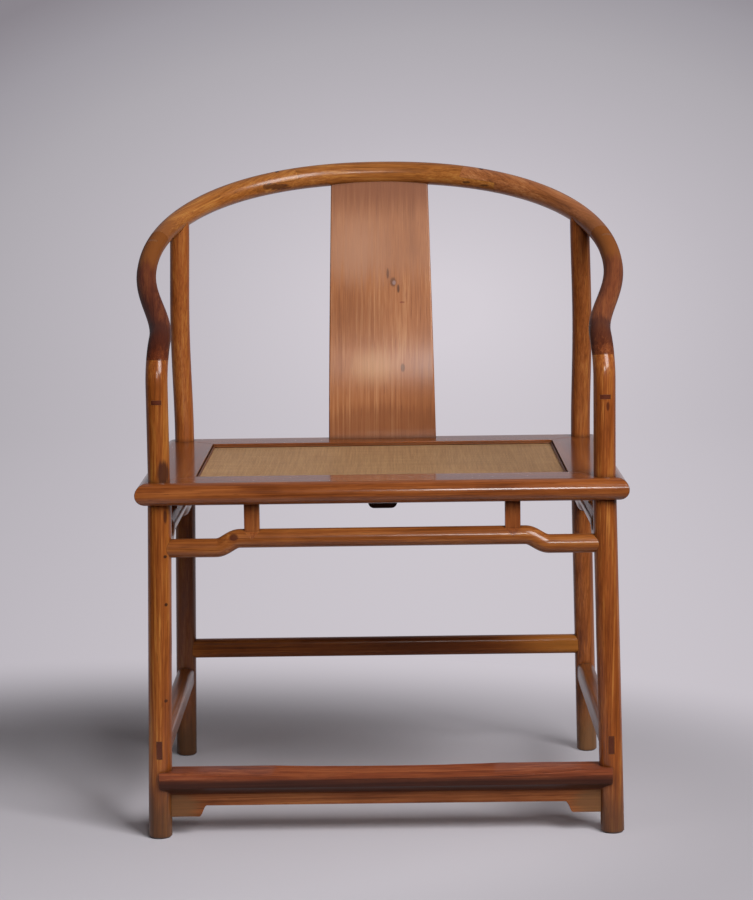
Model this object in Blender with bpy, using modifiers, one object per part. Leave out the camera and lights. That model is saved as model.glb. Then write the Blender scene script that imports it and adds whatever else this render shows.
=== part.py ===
"""Round-back armchair with a sloping horseshoe crest rail, modelled joint by joint.

Metres, +Z up, the front of the chair towards -Y. The pieces are laid out about the middle of the seat,
and an empty that carries them all puts the origin under the middle of the whole chair.
"""

import math

import bmesh
import bpy
from mathutils import Matrix, Vector

# Clearance between pieces that touch
CLEAR = 0.0003

# Seat frame
SEAT_WIDTH = 0.700
SEAT_DEPTH = 0.532
SEAT_HEIGHT = 0.519
SEAT_THICKNESS = 0.032
FRAME_WIDTH = 0.081
LEDGE_WIDTH = 0.012
LEDGE_DROP = 0.009
FRAME_TENON_LENGTH = 0.024
FRAME_TENON_WIDTH = 0.020
FRAME_TENON_HEIGHT = 0.010
FRAME_TENON_INSET = 0.054

# Mat and its battens
MAT_THICKNESS = 0.0025
BATTEN_WIDTH = 0.003
BATTEN_HEIGHT = 0.003

# Bowed brace under the mat
BRACE_WIDTH = 0.044
BRACE_HEIGHT = 0.022
BRACE_BOW = 0.041
BRACE_TENON_LENGTH = 0.012
BRACE_TENON_WIDTH = 0.028
BRACE_TENON_HEIGHT = 0.010

# Legs and posts
LEG_INSET_X = 0.0325
LEG_INSET_Y = 0.036
LEG_SPLAY_X = 0.0100
FRONT_LEG_SPLAY_Y = 0.0050
REAR_LEG_SPLAY_Y = 0.0180
FRONT_LEG_DIAMETER = 0.0340
REAR_LEG_DIAMETER = 0.0322
FRONT_POST_DIAMETER = 0.0316
REAR_POST_DIAMETER = 0.0306
FOOT_CHAMFER = 0.0025
REAR_POST_BOW = 0.0030
REAR_POST_TENON_DIAMETER = 0.015
REAR_POST_TENON_LENGTH = 0.012

# Crest rail
RAIL_BACK_OVERHANG = 0.089
RAIL_BACK_RISE = 0.421
RAIL_BACK_DIAMETER = 0.0366
RAIL_SIDE_OVERHANG = 0.004
RAIL_BACK_REACH = 0.303
RAIL_OVAL_EXPONENT = 2.20
RAIL_SLOPE = 0.445
ARM_DIAMETER = 0.0296
ARM_END_SLOPE = 0.300
ARM_END_INSET = 0.0020
BEND_RADIUS = 0.063

# Wedged scarf joints of the crest rail
SHOULDER_BACK_REACH = 0.206
SHOULDER_FRONT_REACH = 0.105
RAIL_LAP = 0.060
POST_WEDGE_DROP = 0.0245
POST_LAP = 0.122
WEDGE_WIDTH = 0.0145
WEDGE_HEIGHT = 0.0056
WEDGE_TAPER = 0.0008

# Back splat
SPLAT_TOP_WIDTH = 0.157
SPLAT_BOTTOM_WIDTH = 0.172
SPLAT_THICKNESS = 0.0105
SPLAT_EDGE_ROUND = 0.0015
SPLAT_SETBACK = 0.028
SPLAT_TONGUE = 0.009
SPLAT_BOTTOM_SLOPE = -0.10
SPLAT_TOP_SLOPE = 0.40

# Humpback stretchers and struts
HUMP_DIAMETER = 0.027
HUMP_DROP = 0.0515
REAR_HUMP_DROP = 0.0435
HUMP_RISE = 0.0132
HUMP_END_LENGTH = 0.064
HUMP_RAMP_LENGTH = 0.034
STRUT_WIDTH = 0.022
STRUT_THICKNESS = 0.016
FRONT_STRUT_X = 0.186
STRUT_TENON_WIDTH = 0.010
STRUT_TENON_LENGTH = 0.010

# Lower stretchers
SIDE_STRETCHER_Z = 0.131
SIDE_STRETCHER_HEIGHT = 0.033
SIDE_STRETCHER_WIDTH = 0.027
REAR_STRETCHER_Z = 0.1775
REAR_STRETCHER_HEIGHT = 0.030
REAR_STRETCHER_WIDTH = 0.024
STRETCHER_ROUND = 0.009

# Tenons into the legs
TENON_WIDTH = 0.008
TENON_DEPTH = 0.011
THROUGH_TENON_INSET = 0.0004
HUMP_TENON_HEIGHT = 0.016
SIDE_TENON_HEIGHT = 0.026
REAR_TENON_HEIGHT = 0.020
FOOTREST_TENON_HEIGHT = 0.012

# Footrest and its apron
FOOTREST_TOP = 0.0985
FOOTREST_DEPTH = 0.042
FOOTREST_PROUD = 0.006
FOOTREST_FACE = 0.0225
FOOTREST_THICKNESS = 0.034
FOOTREST_UNDERCUT = 0.014
FOOTREST_EDGE_ROUND = 0.002
FOOTREST_WEAR = 0.0112
FOOTREST_BACK_WEAR = 0.0020
APRON_THICKNESS = 0.012
APRON_TONGUE = 0.006
APRON_MIDDLE_BOTTOM = 0.0463
APRON_END_BOTTOM = 0.0300
APRON_END_LENGTH = 0.039
APRON_RAMP_LENGTH = 0.011

# Facets
ROUND_SIDES = 18
RAIL_STEP = 0.022
BEND_STEP = 0.010
RAMP_STEPS = 5
CURVE_STEPS = 14
EDGE_STEPS = 8

# Reach of cutters past the piece that they cut
REACH = 0.030
ROOT = 0.012
SPARE = 0.008

# Derived places
SEAT_UNDER = SEAT_HEIGHT - SEAT_THICKNESS
LEDGE_TOP = SEAT_HEIGHT - LEDGE_DROP
LEG_X = SEAT_WIDTH / 2 - LEG_INSET_X
LEG_Y = SEAT_DEPTH / 2 - LEG_INSET_Y
OPENING_X = SEAT_WIDTH / 2 - FRAME_WIDTH
OPENING_Y = SEAT_DEPTH / 2 - FRAME_WIDTH
RAIL_BACK_Y = SEAT_DEPTH / 2 + RAIL_BACK_OVERHANG
RAIL_BACK_HEIGHT = SEAT_HEIGHT + RAIL_BACK_RISE
RAIL_HALF_WIDTH = SEAT_WIDTH / 2 + RAIL_SIDE_OVERHANG
RAIL_WIDEST_Y = RAIL_BACK_Y - RAIL_BACK_REACH
SPLAT_Y = SEAT_DEPTH / 2 - SPLAT_SETBACK
SIDES = {"left": -1, "right": 1}
ENDS = {"front": -1, "rear": 1}
LEG_DIAMETERS = {"front": FRONT_LEG_DIAMETER, "rear": REAR_LEG_DIAMETER}
HUMP_DROPS = {"front": HUMP_DROP, "rear": REAR_HUMP_DROP}
LEG_SPLAYS_Y = {"front": FRONT_LEG_SPLAY_Y, "rear": REAR_LEG_SPLAY_Y}
POST_DIAMETERS = {"front": FRONT_POST_DIAMETER, "rear": REAR_POST_DIAMETER}

# Colours of the wood and the cane, linear
GOLDEN_WOOD = (0.30, 0.12, 0.035)
RED_WOOD = (0.20, 0.065, 0.022)
DARK_WOOD = (0.085, 0.028, 0.012)
CANE = (0.26, 0.18, 0.075)


def clear_scene():
    """Remove every object that the new file came with."""
    for item in list(bpy.data.objects):
        bpy.data.objects.remove(item, do_unlink=True)


def make_collection(name):
    """Add a collection to the scene."""
    group = bpy.data.collections.new(name)
    bpy.context.scene.collection.children.link(group)
    return group


clear_scene()
PARTS = make_collection("round_back_armchair")
CUTTERS = make_collection("cutters")
CHAIR = bpy.data.objects.new("chair", None)
PARTS.objects.link(CHAIR)


def place(item, group, matrix=None):
    """Hang an object on the chair's empty, in its collection and at its place."""
    group.objects.link(item)
    item.parent = CHAIR
    if matrix is not None:
        item.matrix_basis = matrix
    if group is CUTTERS:
        item.hide_render = True
        item.display_type = "WIRE"
    return item


def finish(item, colour, roughness=0.35):
    """Give a piece its own material and shade its round faces smooth."""
    skin = bpy.data.materials.new(item.name + "_finish")
    skin.use_nodes = True
    shader = skin.node_tree.nodes["Principled BSDF"]
    shader.inputs["Base Color"].default_value = (*colour, 1.0)
    shader.inputs["Roughness"].default_value = roughness
    shader.inputs["Metallic"].default_value = 0.0
    item.data.materials.clear()
    item.data.materials.append(skin)
    item.data.shade_smooth()
    item.data.set_sharp_from_angle(angle=math.radians(35))
    return item


def weld(mesh):
    """Join the loose caps of a mesh and turn its faces outwards."""
    work = bmesh.new()
    work.from_mesh(mesh)
    bmesh.ops.remove_doubles(work, verts=work.verts, dist=1e-6)
    bmesh.ops.recalc_face_normals(work, faces=work.faces)
    work.to_mesh(mesh)
    work.free()


def solid_from_curve(curve, name, group, matrix=None):
    """Turn a curve's bevel or extrusion into a closed mesh object."""
    source = bpy.data.objects.new(name + "_curve", curve)
    PARTS.objects.link(source)
    bpy.context.view_layer.update()
    graph = bpy.context.evaluated_depsgraph_get()
    mesh = bpy.data.meshes.new_from_object(source.evaluated_get(graph))
    mesh.name = name
    weld(mesh)
    bpy.data.objects.remove(source, do_unlink=True)
    return place(bpy.data.objects.new(name, mesh), group, matrix)


def round_bar(name, points, radii, group=None):
    """A round bar along a line of points, with its own radius at each."""
    curve = bpy.data.curves.new(name, "CURVE")
    curve.dimensions = "3D"
    curve.bevel_depth = 1.0
    curve.bevel_resolution = (ROUND_SIDES - 4) // 2
    curve.use_fill_caps = True
    spline = curve.splines.new("POLY")
    spline.points.add(len(points) - 1)
    for knot, point, radius in zip(spline.points, points, radii):
        knot.co = (*point, 1.0)
        knot.radius = radius
    return solid_from_curve(curve, name, group or PARTS)


def slab(name, outline, thickness, matrix, group=None):
    """A flat outline in local X and Y, as thick as given, half to each side of its plane."""
    curve = bpy.data.curves.new(name, "CURVE")
    curve.dimensions = "2D"
    curve.fill_mode = "BOTH"
    curve.extrude = thickness / 2
    spline = curve.splines.new("POLY")
    spline.points.add(len(outline) - 1)
    for knot, (across, along) in zip(spline.points, outline):
        knot.co = (across, along, 0.0, 1.0)
    spline.use_cyclic_u = True
    return solid_from_curve(curve, name, group or PARTS, matrix)


def box(name, low, high, group=None):
    """A box between two corners, its size in its mesh."""
    mesh = bpy.data.meshes.new(name)
    work = bmesh.new()
    bmesh.ops.create_cube(work, size=1.0)
    size = [b - a for a, b in zip(low, high)]
    middle = [(a + b) / 2 for a, b in zip(low, high)]
    bmesh.ops.scale(work, vec=size, verts=work.verts)
    work.to_mesh(mesh)
    work.free()
    item = bpy.data.objects.new(name, mesh)
    return place(item, group or PARTS, Matrix.Translation(middle))


def round_edges(item, width, segments=2):
    """Round a piece's edges with a bevel."""
    bevel = item.modifiers.new("round", "BEVEL")
    bevel.width = width
    bevel.segments = segments
    bevel.limit_method = "ANGLE"
    bevel.angle_limit = math.radians(40)


def combine(item, other, operation="DIFFERENCE"):
    """Cut a piece by another solid, or join that solid to it."""
    boolean = item.modifiers.new(other.name, "BOOLEAN")
    boolean.operation = operation
    boolean.solver = "EXACT"
    boolean.object = other


def facing(along, normal, origin):
    """A matrix with X along one direction, Y along a normal and Z across both."""
    across = along.cross(normal)
    turn = Matrix((along, normal, across)).transposed().to_4x4()
    return Matrix.Translation(origin) @ turn


UPRIGHT = Matrix.Rotation(math.radians(90), 4, "X")
SIDEWAYS = Matrix.Rotation(math.radians(90), 4, "Z") @ UPRIGHT


def ease(share):
    """A share from 0 to 1 that starts and ends level."""
    return (1 - math.cos(math.pi * share)) / 2


def leg_axis(side, end, height):
    """The point on a splayed leg's axis at a height."""
    drop = (SEAT_UNDER - height) / SEAT_UNDER
    x = LEG_X + LEG_SPLAY_X * drop
    y = LEG_Y + LEG_SPLAYS_Y[end] * drop
    return Vector((SIDES[side] * x, ENDS[end] * y, height))


class CrestPath:
    """The line from the middle of the back, round one arm and down the front post to the seat."""

    def __init__(self):
        """Trace the line as short steps and add up their lengths."""
        self.bend_angle = math.pi / 2 - math.atan(ARM_END_SLOPE)
        self.front_y = -LEG_Y
        self.arm_end_y = self.front_y + BEND_RADIUS * (1 - math.cos(self.bend_angle))
        self.points = []
        self.radii = []
        self.trace_back()
        self.trace_arm()
        self.trace_bend()
        self.add((LEG_X, self.front_y, SEAT_UNDER - 2 * ROOT), FRONT_POST_DIAMETER / 2)
        self.lengths = [0.0]
        for start, stop in zip(self.points, self.points[1:]):
            self.lengths.append(self.lengths[-1] + (stop - start).length)

    def add(self, point, radius):
        """Add one point with the rail's radius there."""
        self.points.append(Vector(point))
        self.radii.append(radius)

    def trace_back(self):
        """A quarter of a squared ellipse on a sloping plane, from the back to the widest point."""
        steps = 60
        power = 2 / RAIL_OVAL_EXPONENT
        for step in range(steps + 1):
            turn = math.pi / 2 * step / steps
            x = RAIL_HALF_WIDTH * math.sin(turn) ** power
            y = RAIL_WIDEST_Y + RAIL_BACK_REACH * max(math.cos(turn), 0.0) ** power
            z = RAIL_BACK_HEIGHT - RAIL_SLOPE * (RAIL_BACK_Y - y)
            thick = RAIL_BACK_DIAMETER + (ARM_DIAMETER - RAIL_BACK_DIAMETER) * ease(step / steps)
            self.add((x, y, z), thick / 2)

    def trace_arm(self):
        """The arm draws in and flattens from the widest point to the start of the bend."""
        steps = 30
        start = self.points[-1]
        run = RAIL_WIDEST_Y - self.arm_end_y
        lift = (RAIL_SLOPE - ARM_END_SLOPE) / (2 * run)
        end_x = LEG_X - ARM_END_INSET
        for step in range(1, steps + 1):
            travel = run * step / steps
            x = start.x + (end_x - start.x) * ease(step / steps)
            z = start.z - RAIL_SLOPE * travel + lift * travel ** 2
            thick = ARM_DIAMETER + (FRONT_POST_DIAMETER - ARM_DIAMETER) * step / steps
            self.add((x, start.y - travel, z), thick / 2)

    def trace_bend(self):
        """The arm turns down into the front post on an arc."""
        steps = 16
        start = self.points[-1]
        middle_y = self.front_y + BEND_RADIUS
        middle_z = start.z - BEND_RADIUS * math.sin(self.bend_angle)
        for step in range(1, steps + 1):
            angle = self.bend_angle * (1 - step / steps)
            x = start.x + (LEG_X - start.x) * ease(step / steps)
            y = middle_y - BEND_RADIUS * math.cos(angle)
            z = middle_z + BEND_RADIUS * math.sin(angle)
            self.add((x, y, z), FRONT_POST_DIAMETER / 2)
        self.bend_end = sum((b - a).length for a, b in zip(self.points, self.points[1:]))

    def at(self, distance, side=1):
        """The point and radius at a distance from the middle of the back, mirrored for the left."""
        if distance < 0:
            distance, side = -distance, -side
        for index in range(1, len(self.lengths)):
            if distance <= self.lengths[index]:
                break
        start = self.lengths[index - 1]
        share = (distance - start) / (self.lengths[index] - start)
        point = self.points[index - 1].lerp(self.points[index], share)
        radius = self.radii[index - 1] + share * (self.radii[index] - self.radii[index - 1])
        return Vector((side * point.x, point.y, point.z)), radius

    def distance_over(self, x):
        """How far along the line the back of the rail passes a width."""
        for index, point in enumerate(self.points):
            if point.x >= x:
                break
        share = (x - self.points[index - 1].x) / (point.x - self.points[index - 1].x)
        return self.lengths[index - 1] + share * (self.lengths[index] - self.lengths[index - 1])

    def stretch(self, start, stop, side, extra=0.0):
        """Points and radii of a stretch of the line, closer together in the bend."""
        bend_start = self.bend_end - (self.bend_angle + 0.5) * BEND_RADIUS
        spans = (
            (start, min(stop, bend_start), RAIL_STEP),
            (max(start, bend_start), min(stop, self.bend_end), BEND_STEP),
            (max(start, self.bend_end), stop, stop),
        )
        places = [start]
        for low, high, step in spans:
            if high - low > BEND_STEP / 2:
                count = math.ceil((high - low) / step)
                places += [low + (high - low) * (turn + 1) / count for turn in range(count)]
        places[-1] = stop
        found = [self.at(distance, side) for distance in places]
        return [point for point, radius in found], [radius + extra for point, radius in found]


CREST = CrestPath()
REAR_POST_DISTANCE = CREST.distance_over(LEG_X - ARM_END_INSET)
CENTER_SCARF_DISTANCE = REAR_POST_DISTANCE - SHOULDER_BACK_REACH
SHOULDER_SCARF_DISTANCE = REAR_POST_DISTANCE + SHOULDER_FRONT_REACH
POST_SCARF_DISTANCE = CREST.bend_end + POST_WEDGE_DROP
UP = Vector((0, 0, 1))
FRONT = Vector((0, -1, 0))


class Scarf:
    """A wedged scarf: two half-round tongues lie on each other and a wedge locks them."""

    def __init__(self, name, distance, side, lap, toward):
        """Set the joint's frame on the chord of its lap, with Y towards the outer tongue."""
        start = CREST.at(distance - lap / 2, side)[0]
        stop = CREST.at(distance + lap / 2, side)[0]
        along = (stop - start).normalized()
        normal = (toward - along * toward.dot(along)).normalized()
        middle, self.radius = CREST.at(distance, side)
        self.name = name
        self.lap = lap
        self.line = CREST.stretch(distance - lap / 2, distance + lap / 2, side)
        self.frame = facing(along, normal, (start + stop) / 2)
        self.pin_frame = facing(along, normal, middle)

    def tongue_cutter(self, outer):
        """What is cut from one of the two pieces: the other's tongue and all beyond the lap."""
        half = self.lap / 2
        gap = CLEAR / 2
        steps = [
            (-half, -gap),
            (-half, REACH),
            (half + REACH, REACH),
            (half + REACH, -REACH),
            (half - CLEAR, -REACH),
            (half - CLEAR, -gap),
        ]
        if outer:
            steps = [(-along, -up) for along, up in steps]
        kind = "outer" if outer else "inner"
        return slab(f"{self.name}_{kind}_cutter", steps, 2 * REACH, self.frame, CUTTERS)

    def wedge_outline(self, grow=0.0):
        """The wedge seen from the side: it runs right through the joint, thinner at its far end."""
        slant = REACH * WEDGE_TAPER / (4 * self.radius)
        wide = WEDGE_HEIGHT / 2 + slant + grow
        thin = WEDGE_HEIGHT / 2 - slant + grow
        return [(-wide, REACH), (wide, REACH), (thin, -REACH), (-thin, -REACH)]

    def make(self, inner, outer):
        """Cut both pieces and drive the wedge, its ends flush with the round rail."""
        combine(inner, self.tongue_cutter(False))
        combine(outer, self.tongue_cutter(True))
        wide = WEDGE_WIDTH + 2 * CLEAR
        hole = slab(self.name + "_hole", self.wedge_outline(CLEAR), wide, self.pin_frame, CUTTERS)
        combine(inner, hole)
        combine(outer, hole)
        wedge = slab(self.name, self.wedge_outline(), WEDGE_WIDTH, self.pin_frame)
        combine(wedge, round_bar(self.name + "_flush", *self.line, CUTTERS), "INTERSECT")
        return finish(wedge, DARK_WOOD)


def shoulder_line(side, extra=0.0):
    """Points and radii of a shoulder section, with its laps and some to spare."""
    start = CENTER_SCARF_DISTANCE - RAIL_LAP / 2 - SPARE
    stop = SHOULDER_SCARF_DISTANCE + RAIL_LAP / 2 + SPARE
    return CREST.stretch(start, stop, SIDES[side], extra)


def make_crest_rail():
    """The five sections of the crest rail, before their joints are cut."""
    sections = {}
    reach = CENTER_SCARF_DISTANCE + RAIL_LAP / 2 + SPARE
    points, radii = CREST.stretch(-reach, reach, 1)
    sections["center"] = finish(round_bar("crest_rail_center", points, radii), GOLDEN_WOOD)
    for side in SIDES:
        shoulder = round_bar("crest_rail_shoulder_" + side, *shoulder_line(side))
        sections["shoulder_" + side] = finish(shoulder, GOLDEN_WOOD)
        start = SHOULDER_SCARF_DISTANCE - RAIL_LAP / 2 - SPARE
        stop = POST_SCARF_DISTANCE + POST_LAP / 2 + SPARE
        points, radii = CREST.stretch(start, stop, SIDES[side])
        arm = round_bar("crest_rail_arm_" + side, points, radii)
        sections["arm_" + side] = finish(arm, DARK_WOOD)
    return sections


def leg_bar(name, side, end, extra, group):
    """A leg's round bar from below the floor line to above the seat's underside."""
    radius = LEG_DIAMETERS[end] / 2 + extra
    heights = [-ROOT, 0.0, FOOT_CHAMFER, SEAT_UNDER + ROOT]
    points = [leg_axis(side, end, height) for height in heights]
    radii = [radius - FOOT_CHAMFER, radius - FOOT_CHAMFER, radius, radius]
    return round_bar(name, points, radii, group)


def rear_post_points(side):
    """The rear post's line from inside the leg to the crest rail's axis, slightly bowed outwards."""
    top, rail_radius = CREST.at(REAR_POST_DISTANCE, SIDES[side])
    foot = Vector((SIDES[side] * LEG_X, LEG_Y, SEAT_HEIGHT))
    points = [Vector((foot.x, foot.y, SEAT_UNDER - 2 * ROOT))]
    for step in range(CURVE_STEPS + 1):
        share = step / CURVE_STEPS
        point = foot.lerp(top, share)
        point.y = foot.y + (top.y - foot.y) * ease(share)
        point.x += SIDES[side] * REAR_POST_BOW * math.sin(math.pi * share) ** 2
        points.append(point)
    return points


def make_posts():
    """The four leg-posts, each in one piece, with the seat's shoulder where leg turns to post."""
    trim = 2 * SEAT_WIDTH
    between = box("leg_trim", (-trim, -trim, 0), (trim, trim, SEAT_UNDER - CLEAR), CUTTERS)
    posts = {}
    for side in SIDES:
        leg = leg_bar("front_post_" + side, side, "front", 0.0, PARTS)
        combine(leg, between, "INTERSECT")
        start = POST_SCARF_DISTANCE - POST_LAP / 2 - SPARE
        points, radii = CREST.stretch(start, CREST.lengths[-1], SIDES[side])
        combine(leg, round_bar("front_upper_" + side, points, radii, CUTTERS), "UNION")
        posts["front_" + side] = finish(leg, GOLDEN_WOOD)

        leg = leg_bar("rear_post_" + side, side, "rear", 0.0, PARTS)
        combine(leg, between, "INTERSECT")
        points = rear_post_points(side)
        radii = [REAR_POST_DIAMETER / 2] * len(points)
        upper = round_bar("rear_upper_" + side, points, radii, CUTTERS)
        saddle = round_bar("rear_saddle_" + side, *shoulder_line(side, CLEAR), CUTTERS)
        combine(upper, saddle)
        combine(leg, upper, "UNION")
        posts["rear_" + side] = finish(leg, GOLDEN_WOOD)
    return posts


def seat_post_to_rail(side, post, rail):
    """Round tenon on top of a rear post, in a socket under the crest rail."""
    points = rear_post_points(side)
    top, rail_radius = CREST.at(REAR_POST_DISTANCE, SIDES[side])
    up = (points[-1] - points[-2]).normalized()
    low = top - up * (rail_radius + ROOT)
    high = top - up * (rail_radius - REAR_POST_TENON_LENGTH)
    radius = REAR_POST_TENON_DIAMETER / 2
    combine(post, round_bar("rear_tenon_" + side, (low, high), (radius, radius), CUTTERS), "UNION")
    grown = radius + CLEAR
    socket = round_bar("rear_socket_" + side, (low, high + up * CLEAR), (grown, grown), CUTTERS)
    combine(rail, socket)


def frame_profile():
    """Seat rail section: half-round outer edge, flat top, rabbet for the mat; (inward, height)."""
    radius = SEAT_THICKNESS / 2
    points = []
    for step in range(EDGE_STEPS + 1):
        angle = math.pi * step / EDGE_STEPS
        points.append((radius - radius * math.sin(angle), SEAT_UNDER + radius - radius * math.cos(angle)))
    points.append((FRAME_WIDTH, SEAT_HEIGHT))
    points.append((FRAME_WIDTH, LEDGE_TOP))
    points.append((FRAME_WIDTH + LEDGE_WIDTH, LEDGE_TOP))
    points.append((FRAME_WIDTH + LEDGE_WIDTH, SEAT_UNDER))
    return points


def frame_rail(name, length, turn, location):
    """A seat rail with its section run along it and both ends mitred."""
    mesh = bpy.data.meshes.new(name)
    work = bmesh.new()
    corners = [work.verts.new((0.0, inward, height)) for inward, height in frame_profile()]
    face = work.faces.new(corners)
    grown = bmesh.ops.extrude_face_region(work, geom=[face])
    moved = {item for item in grown["geom"] if isinstance(item, bmesh.types.BMVert)}
    for corner in work.verts:
        half = length / 2 - corner.co.y - CLEAR
        corner.co.x = half if corner in moved else -half
    bmesh.ops.recalc_face_normals(work, faces=work.faces)
    work.to_mesh(mesh)
    work.free()
    matrix = Matrix.Translation(location) @ Matrix.Rotation(math.radians(turn), 4, "Z")
    return place(bpy.data.objects.new(name, mesh), PARTS, matrix)


def make_seat_frame():
    """Four mitred rails, the side rails tenoned into the front and rear ones."""
    half_x = SEAT_WIDTH / 2
    half_y = SEAT_DEPTH / 2
    rails = {
        "front": frame_rail("seat_rail_front", SEAT_WIDTH, 0, (0, -half_y, 0)),
        "rear": frame_rail("seat_rail_rear", SEAT_WIDTH, 180, (0, half_y, 0)),
        "left": frame_rail("seat_rail_left", SEAT_DEPTH, -90, (-half_x, 0, 0)),
        "right": frame_rail("seat_rail_right", SEAT_DEPTH, 90, (half_x, 0, 0)),
    }
    middle = SEAT_UNDER + (LEDGE_TOP - SEAT_UNDER) / 2
    for side, sign in SIDES.items():
        for end, way in ENDS.items():
            near = half_x - FRAME_TENON_INSET
            far = near - FRAME_TENON_WIDTH
            root = half_y - FRAME_TENON_INSET - FRAME_TENON_WIDTH - ROOT
            tip = half_y - FRAME_TENON_INSET + FRAME_TENON_LENGTH
            for kind, grow in (("tenon", 0.0), ("mortise", CLEAR)):
                xs = sorted((sign * (near + grow), sign * (far - grow)))
                ys = sorted((way * root, way * (tip + grow)))
                height = FRAME_TENON_HEIGHT / 2 + grow
                low = (xs[0], ys[0], middle - height)
                high = (xs[1], ys[1], middle + height)
                block = box(f"frame_{kind}_{end}_{side}", low, high, CUTTERS)
                if kind == "tenon":
                    combine(rails[side], block, "UNION")
                else:
                    combine(rails[end], block)
    for side, sign in SIDES.items():
        for end, way in ENDS.items():
            radius = POST_DIAMETERS[end] / 2 + CLEAR
            low = Vector((sign * LEG_X, way * LEG_Y, SEAT_UNDER - ROOT))
            high = Vector((sign * LEG_X, way * LEG_Y, SEAT_HEIGHT + ROOT))
            hole = round_bar(f"post_hole_{end}_{side}", (low, high), (radius, radius), CUTTERS)
            combine(rails[side], hole)
            combine(rails[end], hole)
    for rail in rails.values():
        finish(rail, RED_WOOD)
    return rails


def make_mat():
    """The cane mat on its ledge, pressed down by four battens."""
    x = OPENING_X - CLEAR
    y = OPENING_Y - CLEAR
    low = LEDGE_TOP + CLEAR
    mat = box("seat_mat", (-x, -y, low), (x, y, low + MAT_THICKNESS))
    finish(mat, CANE, 0.7)
    base = low + MAT_THICKNESS + CLEAR
    top = base + BATTEN_HEIGHT
    inner_x = x - BATTEN_WIDTH
    inner_y = y - BATTEN_WIDTH
    strips = {
        "front": ((-x, -y, base), (x, -inner_y, top)),
        "rear": ((-x, inner_y, base), (x, y, top)),
        "left": ((-x, -inner_y + CLEAR, base), (-inner_x, inner_y - CLEAR, top)),
        "right": ((inner_x, -inner_y + CLEAR, base), (x, inner_y - CLEAR, top)),
    }
    for name, (start, stop) in strips.items():
        finish(box("batten_" + name, start, stop), RED_WOOD)


def make_brace(rails):
    """The bowed bearer under the mat, tenoned into the front and rear rails."""
    half = OPENING_Y - LEDGE_WIDTH - CLEAR
    end_z = SEAT_UNDER + (LEDGE_TOP - SEAT_UNDER) / 2 - CLEAR
    lower = []
    upper = []
    for step in range(CURVE_STEPS + 1):
        y = -half + 2 * half * step / CURVE_STEPS
        z = end_z - BRACE_BOW * math.cos(math.pi / 2 * y / half) ** 2
        lower.append((y, z - BRACE_HEIGHT / 2))
        upper.append((y, z + BRACE_HEIGHT / 2))
    brace = slab("seat_brace", lower + upper[::-1], BRACE_WIDTH, SIDEWAYS)
    for end, way in ENDS.items():
        for kind, grow in (("tenon", 0.0), ("mortise", CLEAR)):
            tip = way * (half + BRACE_TENON_LENGTH + grow)
            root = way * (half - ROOT / 2)
            wide = BRACE_TENON_WIDTH / 2 + grow
            high = BRACE_TENON_HEIGHT / 2 + grow
            ys = sorted((tip, root))
            block = box(
                f"brace_{kind}_{end}", (-wide, ys[0], end_z - high), (wide, ys[1], end_z + high), CUTTERS
            )
            if kind == "tenon":
                combine(brace, block, "UNION")
            else:
                combine(rails[end], block)
    finish(brace, DARK_WOOD)


def splat_y(height):
    """The splat's S-curve: upright above the seat, then sweeping back to the crest rail."""
    rise = RAIL_BACK_RISE
    share = (height - SEAT_HEIGHT) / rise
    start = (2 * share ** 3 - 3 * share ** 2 + 1) * SPLAT_Y
    leave = (share ** 3 - 2 * share ** 2 + share) * rise * SPLAT_BOTTOM_SLOPE
    stop = (3 * share ** 2 - 2 * share ** 3) * RAIL_BACK_Y
    arrive = (share ** 3 - share ** 2) * rise * SPLAT_TOP_SLOPE
    return start + leave + stop + arrive


def splat_board(name, extra, group):
    """The splat's side outline run across its width and tapered upwards."""
    bottom = SEAT_HEIGHT - SPLAT_TONGUE - extra
    top = RAIL_BACK_HEIGHT - RAIL_BACK_DIAMETER / 2 + SPLAT_TONGUE + extra
    nudge = SPLAT_THICKNESS / 10
    front = []
    back = []
    for step in range(CURVE_STEPS + 1):
        z = bottom + (top - bottom) * step / CURVE_STEPS
        slope = (splat_y(z + nudge) - splat_y(z - nudge)) / (2 * nudge)
        half = (SPLAT_THICKNESS / 2 + extra) * math.hypot(1, slope)
        front.append((splat_y(z) - half, z))
        back.append((splat_y(z) + half, z))
    board = slab(name, front + back[::-1], SPLAT_BOTTOM_WIDTH + 2 * extra, SIDEWAYS, group)
    taper = (SPLAT_TOP_WIDTH - SPLAT_BOTTOM_WIDTH) / RAIL_BACK_RISE
    for corner in board.data.vertices:
        width = SPLAT_BOTTOM_WIDTH + taper * (corner.co.y - SEAT_HEIGHT)
        corner.co.z *= (width + 2 * extra) / (SPLAT_BOTTOM_WIDTH + 2 * extra)
    return board


def make_splat(rails, crest):
    """The back splat, let into the crest rail and the rear seat rail."""
    board = splat_board("back_splat", 0.0, PARTS)
    round_edges(board, SPLAT_EDGE_ROUND)
    finish(board, GOLDEN_WOOD)
    slot = splat_board("splat_slot", CLEAR, CUTTERS)
    combine(crest, slot)
    combine(rails["rear"], slot)


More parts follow.
